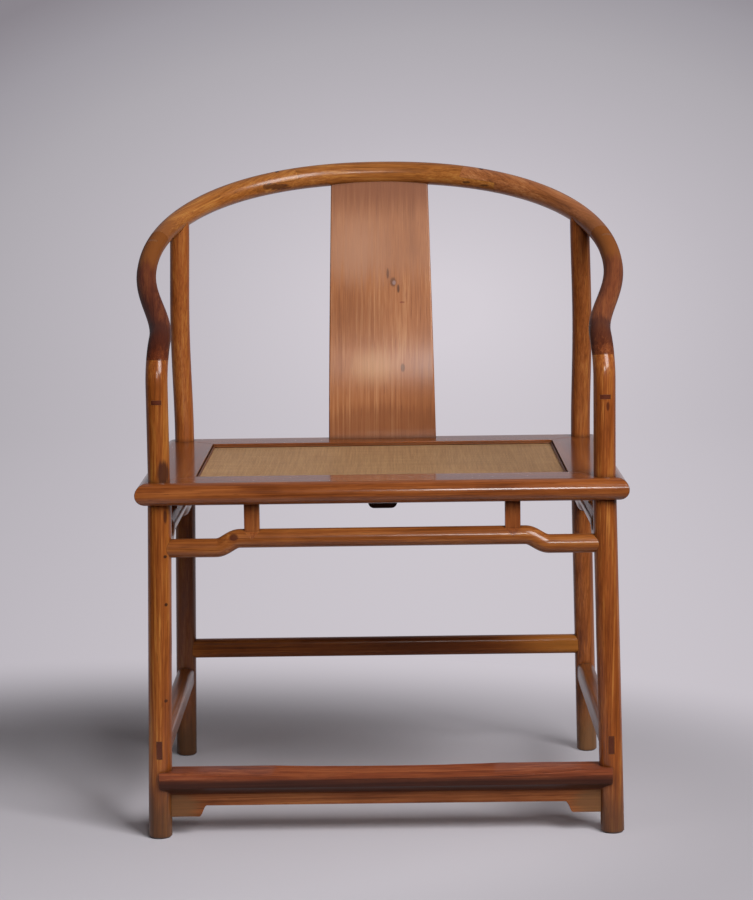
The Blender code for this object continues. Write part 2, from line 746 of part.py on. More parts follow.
def join_to_leg(bar, post, side, end, height, way, tall, depth=TENON_DEPTH, beyond=CLEAR):
    """Cope a bar's end round a leg and let its tenon into a mortise that goes on beyond its tip."""
    axis = leg_axis(side, end, height)
    radius = LEG_DIAMETERS[end] / 2
    name = f"{bar.name}_{end}_{side}"
    combine(bar, leg_bar(name + "_cope", side, end, CLEAR, CUTTERS))
    for kind, grow, deeper in (("tenon", 0.0, 0.0), ("mortise", CLEAR, beyond)):
        root = axis - way * (radius + ROOT)
        tip = axis - way * (radius - depth - deeper)
        across = Vector((abs(way.y), abs(way.x), 0)) * (TENON_WIDTH / 2 + grow)
        up = UP * (tall / 2 + grow)
        low = [min(a, b) for a, b in zip(root - across - up, tip - across - up)]
        high = [max(a, b) for a, b in zip(root + across + up, tip + across + up)]
        block = box(f"{name}_{kind}", low, high, CUTTERS)
        if kind == "tenon":
            combine(bar, block, "UNION")
        else:
            combine(post, block)


def hump_points(reach):
    """Half the humpback's line, from the middle out to the leg's axis: (distance, rise)."""
    ramp_start = reach - HUMP_END_LENGTH - HUMP_RAMP_LENGTH - FRONT_LEG_DIAMETER / 2
    points = [(0.0, HUMP_RISE), (ramp_start / 2, HUMP_RISE)]
    for step in range(RAMP_STEPS + 1):
        share = step / RAMP_STEPS
        points.append((ramp_start + HUMP_RAMP_LENGTH * share, HUMP_RISE * ease(1 - share)))
    points.append((reach, 0.0))
    return points


def hump_bar(name, along, middle, reach, extra=0.0, group=None):
    """A humpback stretcher along a direction, its low ends level with a middle point."""
    half = hump_points(reach)
    line = [(-distance, rise) for distance, rise in half[:0:-1]] + half
    points = [middle + along * distance + UP * rise for distance, rise in line]
    return round_bar(name, points, [HUMP_DIAMETER / 2 + extra] * len(points), group)


def make_strut(name, place_at, across, stretcher, rail):
    """A short strut over a point on its stretcher's axis, tenoned up into the seat, with a pointed foot."""
    half = STRUT_WIDTH / 2
    shoulder = place_at.z + math.sqrt((HUMP_DIAMETER / 2) ** 2 - (STRUT_THICKNESS / 2) ** 2)
    tip = shoulder - half
    frame = facing(across, UP, (place_at.x, place_at.y, 0))
    outline = [
        (-half, SEAT_UNDER - CLEAR),
        (half, SEAT_UNDER - CLEAR),
        (half, shoulder),
        (0.0, tip),
        (-half, shoulder),
    ]
    strut = slab(name, outline, STRUT_THICKNESS, frame)
    wide = half + CLEAR
    deep = tip - CLEAR * math.sqrt(2)
    notch = [
        (0.0, deep),
        (wide, deep + wide),
        (wide, SEAT_UNDER),
        (-wide, SEAT_UNDER),
        (-wide, deep + wide),
    ]
    combine(stretcher, slab(name + "_notch", notch, STRUT_THICKNESS + 2 * CLEAR, frame, CUTTERS))
    for kind, grow in (("tenon", 0.0), ("mortise", CLEAR)):
        wide = STRUT_TENON_WIDTH / 2 + grow
        top = SEAT_UNDER + STRUT_TENON_LENGTH + grow
        low = (place_at.x - wide, place_at.y - wide, SEAT_UNDER - ROOT / 2)
        high = (place_at.x + wide, place_at.y + wide, top)
        block = box(f"{name}_{kind}", low, high, CUTTERS)
        if kind == "tenon":
            combine(strut, block, "UNION")
        else:
            combine(rail, block)
    finish(strut, GOLDEN_WOOD)


def make_humpbacks(posts, rails):
    """Humpback stretchers on all four sides, with their struts."""
    east = Vector((1, 0, 0))
    north = Vector((0, 1, 0))
    reliefs = []
    for end in ENDS:
        low = SEAT_UNDER - HUMP_DROPS[end] - HUMP_RISE
        axis = leg_axis("right", end, low)
        middle = Vector((0, axis.y, low))
        bar = hump_bar(end + "_hump_stretcher", east, middle, axis.x)
        reliefs.append(hump_bar(end + "_hump_relief", east, middle, axis.x, CLEAR, CUTTERS))
        for side, sign in SIDES.items():
            join_to_leg(bar, posts[f"{end}_{side}"], side, end, low, east * sign, HUMP_TENON_HEIGHT)
            spot = Vector((sign * FRONT_STRUT_X, axis.y, low + HUMP_RISE))
            make_strut(f"{end}_strut_{side}", spot, east, bar, rails[end])
        finish(bar, GOLDEN_WOOD)
    low = SEAT_UNDER - HUMP_DROP - HUMP_RISE
    for side in SIDES:
        front = leg_axis(side, "front", low)
        rear = leg_axis(side, "rear", low)
        middle = (front + rear) / 2
        bar = hump_bar("side_hump_stretcher_" + side, north, middle, (rear.y - front.y) / 2)
        for relief in reliefs:
            combine(bar, relief)
        for end, way in ENDS.items():
            join_to_leg(bar, posts[f"{end}_{side}"], side, end, low, north * way, HUMP_TENON_HEIGHT)
        make_strut("side_strut_" + side, middle + UP * HUMP_RISE, north, bar, rails[side])
        finish(bar, GOLDEN_WOOD)


def make_stretchers(posts):
    """The side stretchers, with tenons through the front legs, and the rear stretcher."""
    north = Vector((0, 1, 0))
    east = Vector((1, 0, 0))
    half = SIDE_STRETCHER_HEIGHT / 2
    wide = SIDE_STRETCHER_WIDTH / 2
    for side in SIDES:
        front = leg_axis(side, "front", SIDE_STRETCHER_Z)
        rear = leg_axis(side, "rear", SIDE_STRETCHER_Z)
        low = (front.x - wide, front.y, SIDE_STRETCHER_Z - half)
        high = (rear.x + wide, rear.y, SIDE_STRETCHER_Z + half)
        bar = box("side_stretcher_" + side, low, high)
        round_edges(bar, STRETCHER_ROUND, 3)
        through = FRONT_LEG_DIAMETER - THROUGH_TENON_INSET
        ends = (("front", -north, through, REACH), ("rear", north, TENON_DEPTH, CLEAR))
        for end, way, depth, beyond in ends:
            post = posts[f"{end}_{side}"]
            join_to_leg(bar, post, side, end, SIDE_STRETCHER_Z, way, SIDE_TENON_HEIGHT, depth, beyond)
        finish(bar, RED_WOOD)
    axis = leg_axis("right", "rear", REAR_STRETCHER_Z)
    half = REAR_STRETCHER_HEIGHT / 2
    wide = REAR_STRETCHER_WIDTH / 2
    low = (-axis.x, axis.y - wide, REAR_STRETCHER_Z - half)
    high = (axis.x, axis.y + wide, REAR_STRETCHER_Z + half)
    bar = box("rear_stretcher", low, high)
    round_edges(bar, STRETCHER_ROUND, 3)
    for side, sign in SIDES.items():
        post = posts["rear_" + side]
        join_to_leg(bar, post, side, "rear", REAR_STRETCHER_Z, east * sign, REAR_TENON_HEIGHT)
    finish(bar, RED_WOOD)


def footrest_front():
    """The Y of the footrest's front face, a little ahead of the front legs."""
    return leg_axis("right", "front", FOOTREST_TOP).y - FRONT_LEG_DIAMETER / 2 - FOOTREST_PROUD


def footrest_wear(front, reach):
    """What feet have worn off: a long hollow, deepest at the front edge and shallow at the back."""
    slope = Vector((0, FOOTREST_DEPTH, FOOTREST_WEAR - FOOTREST_BACK_WEAR)).normalized()
    hollow = []
    for step in range(CURVE_STEPS + 1):
        share = 2 * step / CURVE_STEPS - 1
        hollow.append((share * reach, -FOOTREST_WEAR * (1 - abs(share) ** 2.5)))
    outline = [(-reach, ROOT)] + hollow + [(reach, ROOT)]
    east = Vector((1, 0, 0))
    frame = facing(east, east.cross(slope), (0, front, FOOTREST_TOP))
    return slab("footrest_wear", outline, 2 * FOOTREST_DEPTH + 2 * REACH, frame, CUTTERS)


def make_footrest(posts):
    """The footrest with its undercut front, wrapped round the front legs, and its stepped apron."""
    front = footrest_front()
    back = front + FOOTREST_DEPTH
    bottom = FOOTREST_TOP - FOOTREST_THICKNESS
    face = FOOTREST_TOP - FOOTREST_FACE
    axis = leg_axis("right", "front", bottom)
    outline = [
        (front, FOOTREST_TOP),
        (front, face),
        (front + FOOTREST_UNDERCUT, bottom),
        (back, bottom),
        (back, FOOTREST_TOP),
    ]
    rest = slab("footrest", outline, 2 * axis.x, SIDEWAYS)
    round_edges(rest, FOOTREST_EDGE_ROUND)
    combine(rest, footrest_wear(front, axis.x - FRONT_LEG_DIAMETER / 2))
    north = Vector((0, 1, 0))
    east = Vector((1, 0, 0))
    height = (bottom + FOOTREST_TOP) / 2
    for side, sign in SIDES.items():
        end_cut = [
            (sign * axis.x, face),
            (sign * (axis.x - FOOTREST_UNDERCUT), bottom),
            (sign * (axis.x - FOOTREST_UNDERCUT), bottom - ROOT),
            (sign * (axis.x + REACH), bottom - ROOT),
            (sign * (axis.x + REACH), face),
        ]
        place_at = facing(east, UP, (0, front, 0))
        combine(rest, slab("footrest_end_" + side, end_cut, 2 * FOOTREST_DEPTH + REACH, place_at, CUTTERS))
        behind = sorted((sign * (axis.x - TENON_WIDTH / 2), sign * (axis.x + REACH)))
        corner = box(
            "footrest_corner_" + side,
            (behind[0], axis.y, bottom - ROOT),
            (behind[1], back + REACH, FOOTREST_TOP + ROOT),
            CUTTERS,
        )
        combine(rest, corner)
        join_to_leg(rest, posts["front_" + side], side, "front", height, east * sign, FOOTREST_TENON_HEIGHT)
    finish(rest, DARK_WOOD)
    make_apron(rest, axis, bottom)


def make_apron(rest, axis, rest_bottom):
    """The board under the footrest, stepped down at both ends and tongued into the footrest."""
    inner = axis.x - FRONT_LEG_DIAMETER / 2
    flat = inner - APRON_END_LENGTH
    ramp = flat - APRON_RAMP_LENGTH
    right = []
    for step in range(RAMP_STEPS + 1):
        share = step / RAMP_STEPS
        x = ramp + (flat - ramp) * share
        right.append((x, APRON_MIDDLE_BOTTOM + (APRON_END_BOTTOM - APRON_MIDDLE_BOTTOM) * ease(share)))
    right.append((axis.x, APRON_END_BOTTOM))
    right.append((axis.x, rest_bottom - CLEAR))
    left = [(-x, z) for x, z in right[::-1]]
    frame = facing(Vector((1, 0, 0)), UP, (0, axis.y, 0))
    apron = slab("footrest_apron", right + left, APRON_THICKNESS, frame)
    for side in SIDES:
        combine(apron, leg_bar("apron_cope_" + side, side, "front", CLEAR, CUTTERS))
    for kind, grow in (("tongue", 0.0), ("groove", CLEAR)):
        thick = TENON_WIDTH / 2 + grow
        long = ramp + grow
        low = (-long, axis.y - thick, rest_bottom - ROOT)
        high = (long, axis.y + thick, rest_bottom + APRON_TONGUE + grow)
        block = box("apron_" + kind, low, high, CUTTERS)
        if kind == "tongue":
            combine(apron, block, "UNION")
        else:
            combine(rest, block)
    finish(apron, GOLDEN_WOOD)


def main():
    """Build the chair piece by piece and put its origin under the middle of its box."""
    crest = make_crest_rail()
    posts = make_posts()
    rails = make_seat_frame()
    make_mat()
    make_brace(rails)
    make_splat(rails, crest["center"])
    for side, sign in SIDES.items():
        shoulder = crest["shoulder_" + side]
        arm = crest["arm_" + side]
        seat_post_to_rail(side, posts["rear_" + side], shoulder)
        back_scarf = Scarf("rail_wedge_back_" + side, CENTER_SCARF_DISTANCE, sign, RAIL_LAP, UP)
        back_scarf.make(crest["center"], shoulder)
        arm_scarf = Scarf("rail_wedge_arm_" + side, SHOULDER_SCARF_DISTANCE, sign, RAIL_LAP, UP)
        arm_scarf.make(shoulder, arm)
        post_scarf = Scarf("post_wedge_" + side, POST_SCARF_DISTANCE, sign, POST_LAP, FRONT)
        post_scarf.make(arm, posts["front_" + side])
    make_humpbacks(posts, rails)
    make_stretchers(posts)
    make_footrest(posts)
    back = RAIL_BACK_Y + RAIL_BACK_DIAMETER / 2
    front = min(footrest_front(), -SEAT_DEPTH / 2)
    CHAIR.location.y = -(back + front) / 2


main()
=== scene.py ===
"""Looks of a round-back armchair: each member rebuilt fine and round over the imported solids, in waxed hardwood.

Sizes are metres and the front of the chair is towards -Y. Pieces are modelled about the middle of the seat
and then set down on the frame, so a finished piece sits at the origin with its place in its mesh.
"""

import logging
import math
from contextlib import contextmanager
from dataclasses import dataclass, field
from enum import Enum
from typing import Any, Callable, Iterator, Sequence

import bmesh
import bpy
from mathutils import Matrix, Vector


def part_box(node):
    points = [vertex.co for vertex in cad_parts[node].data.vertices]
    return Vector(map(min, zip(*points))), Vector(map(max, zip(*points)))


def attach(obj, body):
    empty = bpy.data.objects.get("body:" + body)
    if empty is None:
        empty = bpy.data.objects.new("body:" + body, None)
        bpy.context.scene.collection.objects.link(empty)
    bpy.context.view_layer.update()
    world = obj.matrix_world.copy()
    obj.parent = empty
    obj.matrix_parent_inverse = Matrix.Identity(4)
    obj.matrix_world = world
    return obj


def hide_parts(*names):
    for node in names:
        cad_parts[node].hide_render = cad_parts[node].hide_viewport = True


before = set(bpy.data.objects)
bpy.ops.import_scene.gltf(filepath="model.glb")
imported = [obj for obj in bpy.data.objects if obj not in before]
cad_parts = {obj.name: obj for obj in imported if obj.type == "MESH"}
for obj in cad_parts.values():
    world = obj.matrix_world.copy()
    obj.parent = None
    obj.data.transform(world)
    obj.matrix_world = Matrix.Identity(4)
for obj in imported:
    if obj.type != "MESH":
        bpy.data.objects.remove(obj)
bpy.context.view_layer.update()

log = logging.getLogger("armchair")
SEAT_MIDDLE_Y = (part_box("seat_rail_front")[0].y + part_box("seat_rail_rear")[1].y) / 2

# The gap in a joint, a cutter's reach past its piece, what is left on for a later cut and how far
# a leg or a tenon runs past the face where it will be cut or joined
GAP = 0.0003
REACH = 0.030
SPARE = 0.008
OVERRUN = 0.012

UP = Vector((0, 0, 1))
EAST = Vector((1, 0, 0))
NORTH = Vector((0, 1, 0))
Piece = bpy.types.Object
Socket = bpy.types.NodeSocket
Tree = bpy.types.NodeTree
Point = tuple[float, float, float]


class Side(Enum):
    """Left and right as seen from the front, with the sign of X."""

    LEFT = -1
    RIGHT = 1


class End(Enum):
    """Front and rear, with the sign of Y."""

    FRONT = -1
    REAR = 1


class Slot(Enum):
    """The record's material slots."""

    GOLDEN = "golden_hardwood"
    RED = "red_brown_hardwood"
    DARK = "dark_hardwood"
    CANE = "cane_mat"


def tag(member: Enum) -> str:
    """The word that a piece's name uses for a side or an end."""
    return member.name.lower()


def ease(share: float) -> float:
    """A share from 0 to 1 that starts and ends level."""
    return (1 - math.cos(math.pi * share)) / 2


def linear(code: str) -> tuple[float, float, float, float]:
    """Turn an sRGB hex colour into linear light.

    Args:
        code: The colour as "#rrggbb".

    Returns:
        Red, green, blue and an alpha of 1.
    """
    parts = [int(code[i : i + 2], 16) / 255 for i in (1, 3, 5)]
    red, green, blue = (c / 12.92 if c <= 0.04045 else ((c + 0.055) / 1.055) ** 2.4 for c in parts)
    return red, green, blue, 1.0


def add_node(
    tree: Tree,
    kind: str,
    settings: dict[str, Any] | None = None,
    values: dict[str | int, Any] | None = None,
    links: dict[str | int, Socket] | None = None,
) -> bpy.types.Node:
    """Add a node with its settings, its sockets' values and its links.

    Args:
        tree: The material's node tree.
        kind: The node's type.
        settings: Properties of the node.
        values: Constants for its input sockets.
        links: Output sockets that feed its input sockets.

    Returns:
        The new node.
    """
    node = tree.nodes.new(kind)
    for name, value in (settings or {}).items():
        setattr(node, name, value)
    for key, value in (values or {}).items():
        node.inputs[key].default_value = value
    for key, source in (links or {}).items():
        tree.links.new(source, node.inputs[key])
    return node


def new_skin(name: str, surface: dict[str, float]) -> tuple[bpy.types.Material, Tree, bpy.types.Node, Socket]:
    """Start a material.

    Args:
        name: The material's name.
        surface: Values for the surface shader's own sockets.

    Returns:
        The material, its node tree, its surface shader and the place on the piece in Object coordinates.
    """
    skin = bpy.data.materials.new(name)
    skin.use_nodes = True
    tree = skin.node_tree
    shader = tree.nodes["Principled BSDF"]
    for socket, value in surface.items():
        shader.inputs[socket].default_value = value
    return skin, tree, shader, add_node(tree, "ShaderNodeTexCoord").outputs["Object"]


def take(piece: Piece) -> None:
    """Select one piece alone and make it active.

    Args:
        piece: The piece to take up.
    """
    bpy.ops.object.select_all(action="DESELECT")
    piece.select_set(True)
    bpy.context.view_layer.objects.active = piece


def begin(name: str, add: Callable[..., Any], **settings: Any) -> Piece:
    """Add a primitive with nothing else selected.

    Args:
        name: The new piece's name.
        add: The operator that adds the primitive.
        **settings: The operator's settings.

    Returns:
        The primitive, to be shaped.
    """
    bpy.ops.object.select_all(action="DESELECT")
    add(**settings)
    piece = bpy.context.object
    piece.name = name
    return piece


def fix_place(piece: Piece) -> None:
    """Move a piece's place, turn and size into its mesh."""
    take(piece)
    bpy.ops.object.transform_apply(location=True, rotation=True, scale=True)


@contextmanager
def on_bench(piece: Piece) -> Iterator[None]:
    """Hold a piece in edit mode with all of it selected.

    Args:
        piece: The piece to work on.
    """
    take(piece)
    bpy.ops.object.mode_set(mode="EDIT")
    bpy.ops.mesh.select_mode(type="VERT")
    bpy.ops.mesh.select_all(action="SELECT")
    try:
        yield
    finally:
        bpy.ops.object.mode_set(mode="OBJECT")


def pick_points(piece: Piece, wanted: Callable[[Vector], bool]) -> None:
    """Select the points of a piece in edit mode by their place.

    Args:
        piece: The piece on the bench.
        wanted: Says of a point whether it is selected.
    """
    mesh = bmesh.from_edit_mesh(piece.data)
    for point in mesh.verts:
        point.select_set(wanted(point.co))
    mesh.select_flush_mode()
    bmesh.update_edit_mesh(piece.data)


def pick_edges(piece: Piece, wanted: Callable[[Vector, Vector], bool]) -> None:
    """Select the edges of a piece in edit mode by their two ends.

    Args:
        piece: The piece on the bench.
        wanted: Says of an edge's ends whether the edge is selected.
    """
    bpy.ops.mesh.select_mode(type="EDGE")
    bpy.ops.mesh.select_all(action="DESELECT")
    mesh = bmesh.from_edit_mesh(piece.data)
    for edge in mesh.edges:
        edge.select_set(wanted(edge.verts[0].co, edge.verts[1].co))
    mesh.select_flush_mode()
    bmesh.update_edit_mesh(piece.data)


def apply_modifier(piece: Piece, kind: str, **settings: Any) -> None:
    """Add a modifier with its settings and apply it.

    Args:
        piece: The piece that it shapes.
        kind: The modifier's type.
        **settings: Its properties.
    """
    take(piece)
    modifier = piece.modifiers.new("work", kind)
    for name, value in settings.items():
        setattr(modifier, name, value)
    bpy.ops.object.modifier_apply(modifier=modifier.name)


def soften(piece: Piece, width: float, segments: int = 2, angle: float = 40.0) -> None:
    """Round the sharp arrises of a piece.

    Args:
        piece: The piece to round.
        width: How far the rounding reaches in from an arris.
        segments: How many facets it has.
        angle: Arrises that turn by less than this, in degrees, stay.
    """
    apply_modifier(
        piece, "BEVEL", width=width, segments=segments, limit_method="ANGLE", angle_limit=math.radians(angle)
    )


def discard(*tools: Piece) -> None:
    """Throw away shapes that only served to cut others.

    Args:
        *tools: The shapes.
    """
    for tool in tools:
        bpy.data.objects.remove(tool, do_unlink=True)


def carve(piece: Piece, tool: Piece, operation: str = "DIFFERENCE") -> None:
    """Cut a piece by a tool, or join the tool to it, and throw the tool away.

    Args:
        piece: The piece to work on.
        tool: The shape that cuts or joins it.
        operation: The Boolean modifier's operation.
    """
    apply_modifier(piece, "BOOLEAN", operation=operation, solver="EXACT", object=tool)
    discard(tool)


def twin(piece: Piece) -> Piece:
    """Copy a piece.

    Args:
        piece: The piece to copy.

    Returns:
        The copy, with a mesh of its own.
    """
    copy = piece.copy()
    copy.data = piece.data.copy()
    bpy.context.scene.collection.objects.link(copy)
    return copy


def grown(piece: Piece, gap: float = GAP) -> Piece:
    """Copy a piece and swell the copy.

    Args:
        piece: The piece to copy.
        gap: How far its skin moves out.

    Returns:
        The copy, to cut with.
    """
    copy = twin(piece)
    apply_modifier(copy, "DISPLACE", strength=gap, mid_level=0.0)
    return copy


def block(name: str, low: Sequence[float], high: Sequence[float]) -> Piece:
    """Add a squared block between two corners.

    Args:
        name: The piece's name.
        low: Its lowest corner.
        high: Its highest corner.

    Returns:
        The block, still to be shaped.
    """
    middle = [(a + b) / 2 for a, b in zip(low, high)]
    piece = begin(name, bpy.ops.mesh.primitive_cube_add, size=1.0, location=middle)
    piece.scale = [b - a for a, b in zip(low, high)]
    fix_place(piece)
    return piece


def board(name: str, outline: Sequence[tuple[float, float]], thickness: float, lie: Matrix) -> Piece:
    """Saw a board to an outline.

    Args:
        name: The piece's name.
        outline: Corners in the board's own X and Y.
        thickness: Its thickness, half to each side of that plane.
        lie: Where the board's own axes lie in the chair.

    Returns:
        The sawn board.
    """
    piece = begin(name, bpy.ops.mesh.primitive_circle_add, vertices=len(outline), fill_type="NGON")
    for corner, (across, along) in zip(piece.data.vertices, outline):
        corner.co = (across, along, -thickness / 2)
    with on_bench(piece):
        bpy.ops.mesh.extrude_region_move(TRANSFORM_OT_translate={"value": (0, 0, thickness)})
        bpy.ops.mesh.select_all(action="SELECT")
        bpy.ops.mesh.normals_make_consistent(inside=False)
    piece.matrix_world = lie
    fix_place(piece)
    return piece


def round_bar(name: str, points: Sequence[Vector], radii: Sequence[float], sides: int = 44) -> Piece:
    """Turn a round bar along a line, as a swept circle made into a mesh.

    Args:
        name: The piece's name.
        points: The bar's axis.
        radii: Its radius at each point.
        sides: How many facets go round it.

    Returns:
        The closed bar.
    """
    piece = begin(name, bpy.ops.curve.primitive_nurbs_path_add)
    line = piece.data
    line.splines.clear()
    spline = line.splines.new("POLY")
    spline.points.add(len(points) - 1)
    for knot, point, radius in zip(spline.points, points, radii):
        knot.co = (*point, 1.0)
        knot.radius = radius
    line.dimensions = "3D"
    line.bevel_depth = 1.0
    line.bevel_resolution = (sides - 4) // 2
    line.use_fill_caps = True
    bpy.ops.object.convert(target="MESH")
    with on_bench(piece):
        bpy.ops.mesh.remove_doubles(threshold=1e-6)
        bpy.ops.mesh.normals_make_consistent(inside=False)
    return piece


def saw_off(piece: Piece, place: Sequence[float], away: Sequence[float]) -> None:
    """Saw off what lies beyond a plane and close the cut.

    Args:
        piece: The piece to saw.
        place: A point on the plane.
        away: The direction of the waste.
    """
    with on_bench(piece):
        bpy.ops.mesh.bisect(plane_co=place, plane_no=away, use_fill=True, clear_outer=True, threshold=1e-6)


def facing(along: Vector, normal: Vector, origin: Sequence[float]) -> Matrix:
    """Find the lie of a board with X along one direction, Y along a normal to it and Z across both.

    Args:
        along: The board's own X.
        normal: Its own Y.
        origin: Where its own origin lies.

    Returns:
        The lie.
    """
    turn = Matrix((along, normal, along.cross(normal))).transposed().to_4x4()
    return Matrix.Translation(origin) @ turn


SIDEWAYS = facing(NORTH, UP, (0, 0, 0))


def settle(piece: Piece, finish: "Hardwood | WovenCane", node: str, angle: float = 33.0) -> Piece:
    """Set a finished piece down on the frame, dress it and let it stand for its CAD node.

    Args:
        piece: The piece, modelled about the middle of the seat.
        finish: What it is finished in.
        node: The CAD node that it stands for.
        angle: Edges flatter than this, in degrees, are shaded round.

    Returns:
        The same piece.
    """
    piece.location.y += SEAT_MIDDLE_Y
    fix_place(piece)
    bpy.ops.object.shade_smooth_by_angle(angle=math.radians(angle))
    apply_modifier(piece, "WEIGHTED_NORMAL", keep_sharp=True)
    piece.data.materials.clear()
    piece.data.materials.append(finish.make())
    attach(piece, "root")
    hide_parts(node)
    log.info("%s: %d faces, stands for %s", piece.name, len(piece.data.polygons), node)
    return piece


@dataclass(frozen=True)
class Mark:
    """A knot, stain, rubbed place or painted light or shade, by its middle, its reach in metres and the share of that
    at full strength.
    """

    middle: Point
    reach: Point
    tint: str
    strength: float = 0.8
    ragged: float = 0.5
    core: float = 0.55


@dataclass(frozen=True)
class Hardwood:
    """Close-grained golden hardwood, planed by hand and waxed for generations.

    It gives the eye fine upright strands between amber and brown, short dark pores, a soft shine that turns to
    a mirror at a low angle, painted shade in the corners, which also stands for wax and dust, and paler, rubbed
    arrises.
    """

    name: str
    heart: str
    light: str
    dark: str
    grain: Point
    figure: float = 1.4
    drawn: float = 1.0
    face: Point = (0.3, -0.9, 0.3)
    flat: float = 1.0
    roughness: float = 0.42
    shine: float = 0.08
    polish: float = 0.60
    polish_roughness: float = 0.17
    # How far the corners are darkened: painted shade, which also stands for dust and old wax
    soil_and_shade: float = 0.75
    rubbed: float = 0.30
    seed: float = 0.0
    foot: str | None = None
    marks: tuple[Mark, ...] = ()

    def make(self) -> bpy.types.Material:
        """Make the material.

        Returns:
            The material with its node tree.
        """
        surface = {
            "IOR": 1.5,
            "Specular IOR Level": self.shine,
            "Coat Weight": self.polish,
            "Coat Roughness": self.polish_roughness,
            "Coat IOR": 1.5,
        }
        skin, tree, shader, place = new_skin(self.name, surface)
        cloud, streaks, fibre, pores = self.add_grain(tree, place)
        colour = self.add_colour(tree, cloud, streaks, fibre, pores)
        for mark in self.marks:
            colour = self.add_mark(tree, place, streaks, colour, mark)
        if self.foot:
            colour = self.add_foot_wear(tree, place, cloud, colour, self.foot)
        colour = self.add_shade_and_wear(tree, cloud, colour)
        gloss = add_node(
            tree,
            "ShaderNodeMapRange",
            values={"From Min": 0.3, "From Max": 0.7, "To Min": self.roughness - 0.06, "To Max": self.roughness + 0.09},
            links={"Value": cloud},
        )
        tree.links.new(colour, shader.inputs["Base Color"])
        tree.links.new(gloss.outputs["Result"], shader.inputs["Roughness"])
        tree.links.new(self.add_relief(tree, place, fibre, pores), shader.inputs["Normal"])
        return skin

    def lay(self, tree: Tree, place: Socket, size_mm: Point) -> Socket:
        """Turn a place into grain units: along the grain, across it and through the board.

        Args:
            tree: The material's node tree.
            place: Object coordinates.
            size_mm: The size of a unit each way, in millimetres.

        Returns:
            The place in those units.
        """
        along = Vector(self.grain).normalized()
        across = along.cross(Vector(self.face)).normalized()
        turn = Matrix((along, across, along.cross(across))).transposed().to_euler()
        settings = {"vector_type": "TEXTURE"}
        size = (size_mm[0] / 1000 * self.drawn, size_mm[1] / 1000, size_mm[2] / 1000 * self.flat)
        values = {"Location": (self.seed * 0.37, self.seed * 0.23, self.seed * 0.41), "Rotation": turn, "Scale": size}
        return add_node(tree, "ShaderNodeMapping", settings, values, {"Vector": place}).outputs["Vector"]

    def add_grain(self, tree: Tree, place: Socket) -> tuple[Socket, Socket, Socket, Socket]:
        """Add the clouds, the streaks, the fibre and the pores, each as noise drawn out along the grain.

        Args:
            tree: The material's node tree.
            place: Object coordinates.

        Returns:
            The four patterns, each from 0 to 1.
        """
        # Fibre and pores are a tenth of a millimetre wide in the wood. They are drawn wider so that they show.
        layers = []
        for size_mm, detail, twist in (
            ((150.0, 34.0, 34.0), 3.0, 0.4),
            ((380.0, 4.2, 4.2), 4.0, 0.5),
            ((120.0, 1.3, 1.3), 2.0, 0.0),
            ((26.0, 0.9, 0.9), 1.0, 0.0),
        ):
            layer = add_node(
                tree,
                "ShaderNodeTexNoise",
                values={"Scale": 1.0, "Detail": detail, "Roughness": 0.58, "Distortion": twist},
                links={"Vector": self.lay(tree, place, size_mm)},
            )
            layers.append(layer.outputs["Fac"])
        pores = add_node(
            tree,
            "ShaderNodeMapRange",
            {"interpolation_type": "SMOOTHSTEP"},
            {"From Min": 0.60, "From Max": 0.72},
            {"Value": layers[3]},
        )
        return layers[0], layers[1], layers[2], pores.outputs["Result"]

    def add_colour(self, tree: Tree, cloud: Socket, streaks: Socket, fibre: Socket, pores: Socket) -> Socket:
        """Colour the grain from its patterns.

        Args:
            tree: The material's node tree.
            cloud: Broad change from place to place.
            streaks: Long streaks.
            fibre: Fine fibre.
            pores: Short dark dashes.

        Returns:
            The wood's colour.
        """
        share = None
        for layer, weight in ((cloud, 0.34), (streaks, 0.36), (fibre, 0.30)):
            links = {0: layer} if share is None else {0: layer, 2: share}
            share = add_node(
                tree, "ShaderNodeMath", {"operation": "MULTIPLY_ADD"}, {1: weight, 2: 0.0}, links
            ).outputs[0]
        spread = 0.21 / max(self.figure, 0.05)
        spans = add_node(
            tree,
            "ShaderNodeMapRange",
            values={"From Min": 0.5 - spread, "From Max": 0.5 + spread},
            links={"Value": share},
        )
        ramp = add_node(tree, "ShaderNodeValToRGB", links={"Fac": spans.outputs["Result"]})
        stops = ramp.color_ramp.elements
        stops[0].color = linear(self.dark)
        stops[1].color = linear(self.light)
        stops.new(0.5).color = linear(self.heart)
        specks = add_node(tree, "ShaderNodeMath", {"operation": "MULTIPLY"}, {1: 0.50 * self.figure}, {0: pores})
        pored = add_node(
            tree,
            "ShaderNodeMix",
            {"data_type": "RGBA"},
            {7: linear(self.dark)},
            {0: specks.outputs[0], 6: ramp.outputs["Color"]},
        )
        return pored.outputs[2]

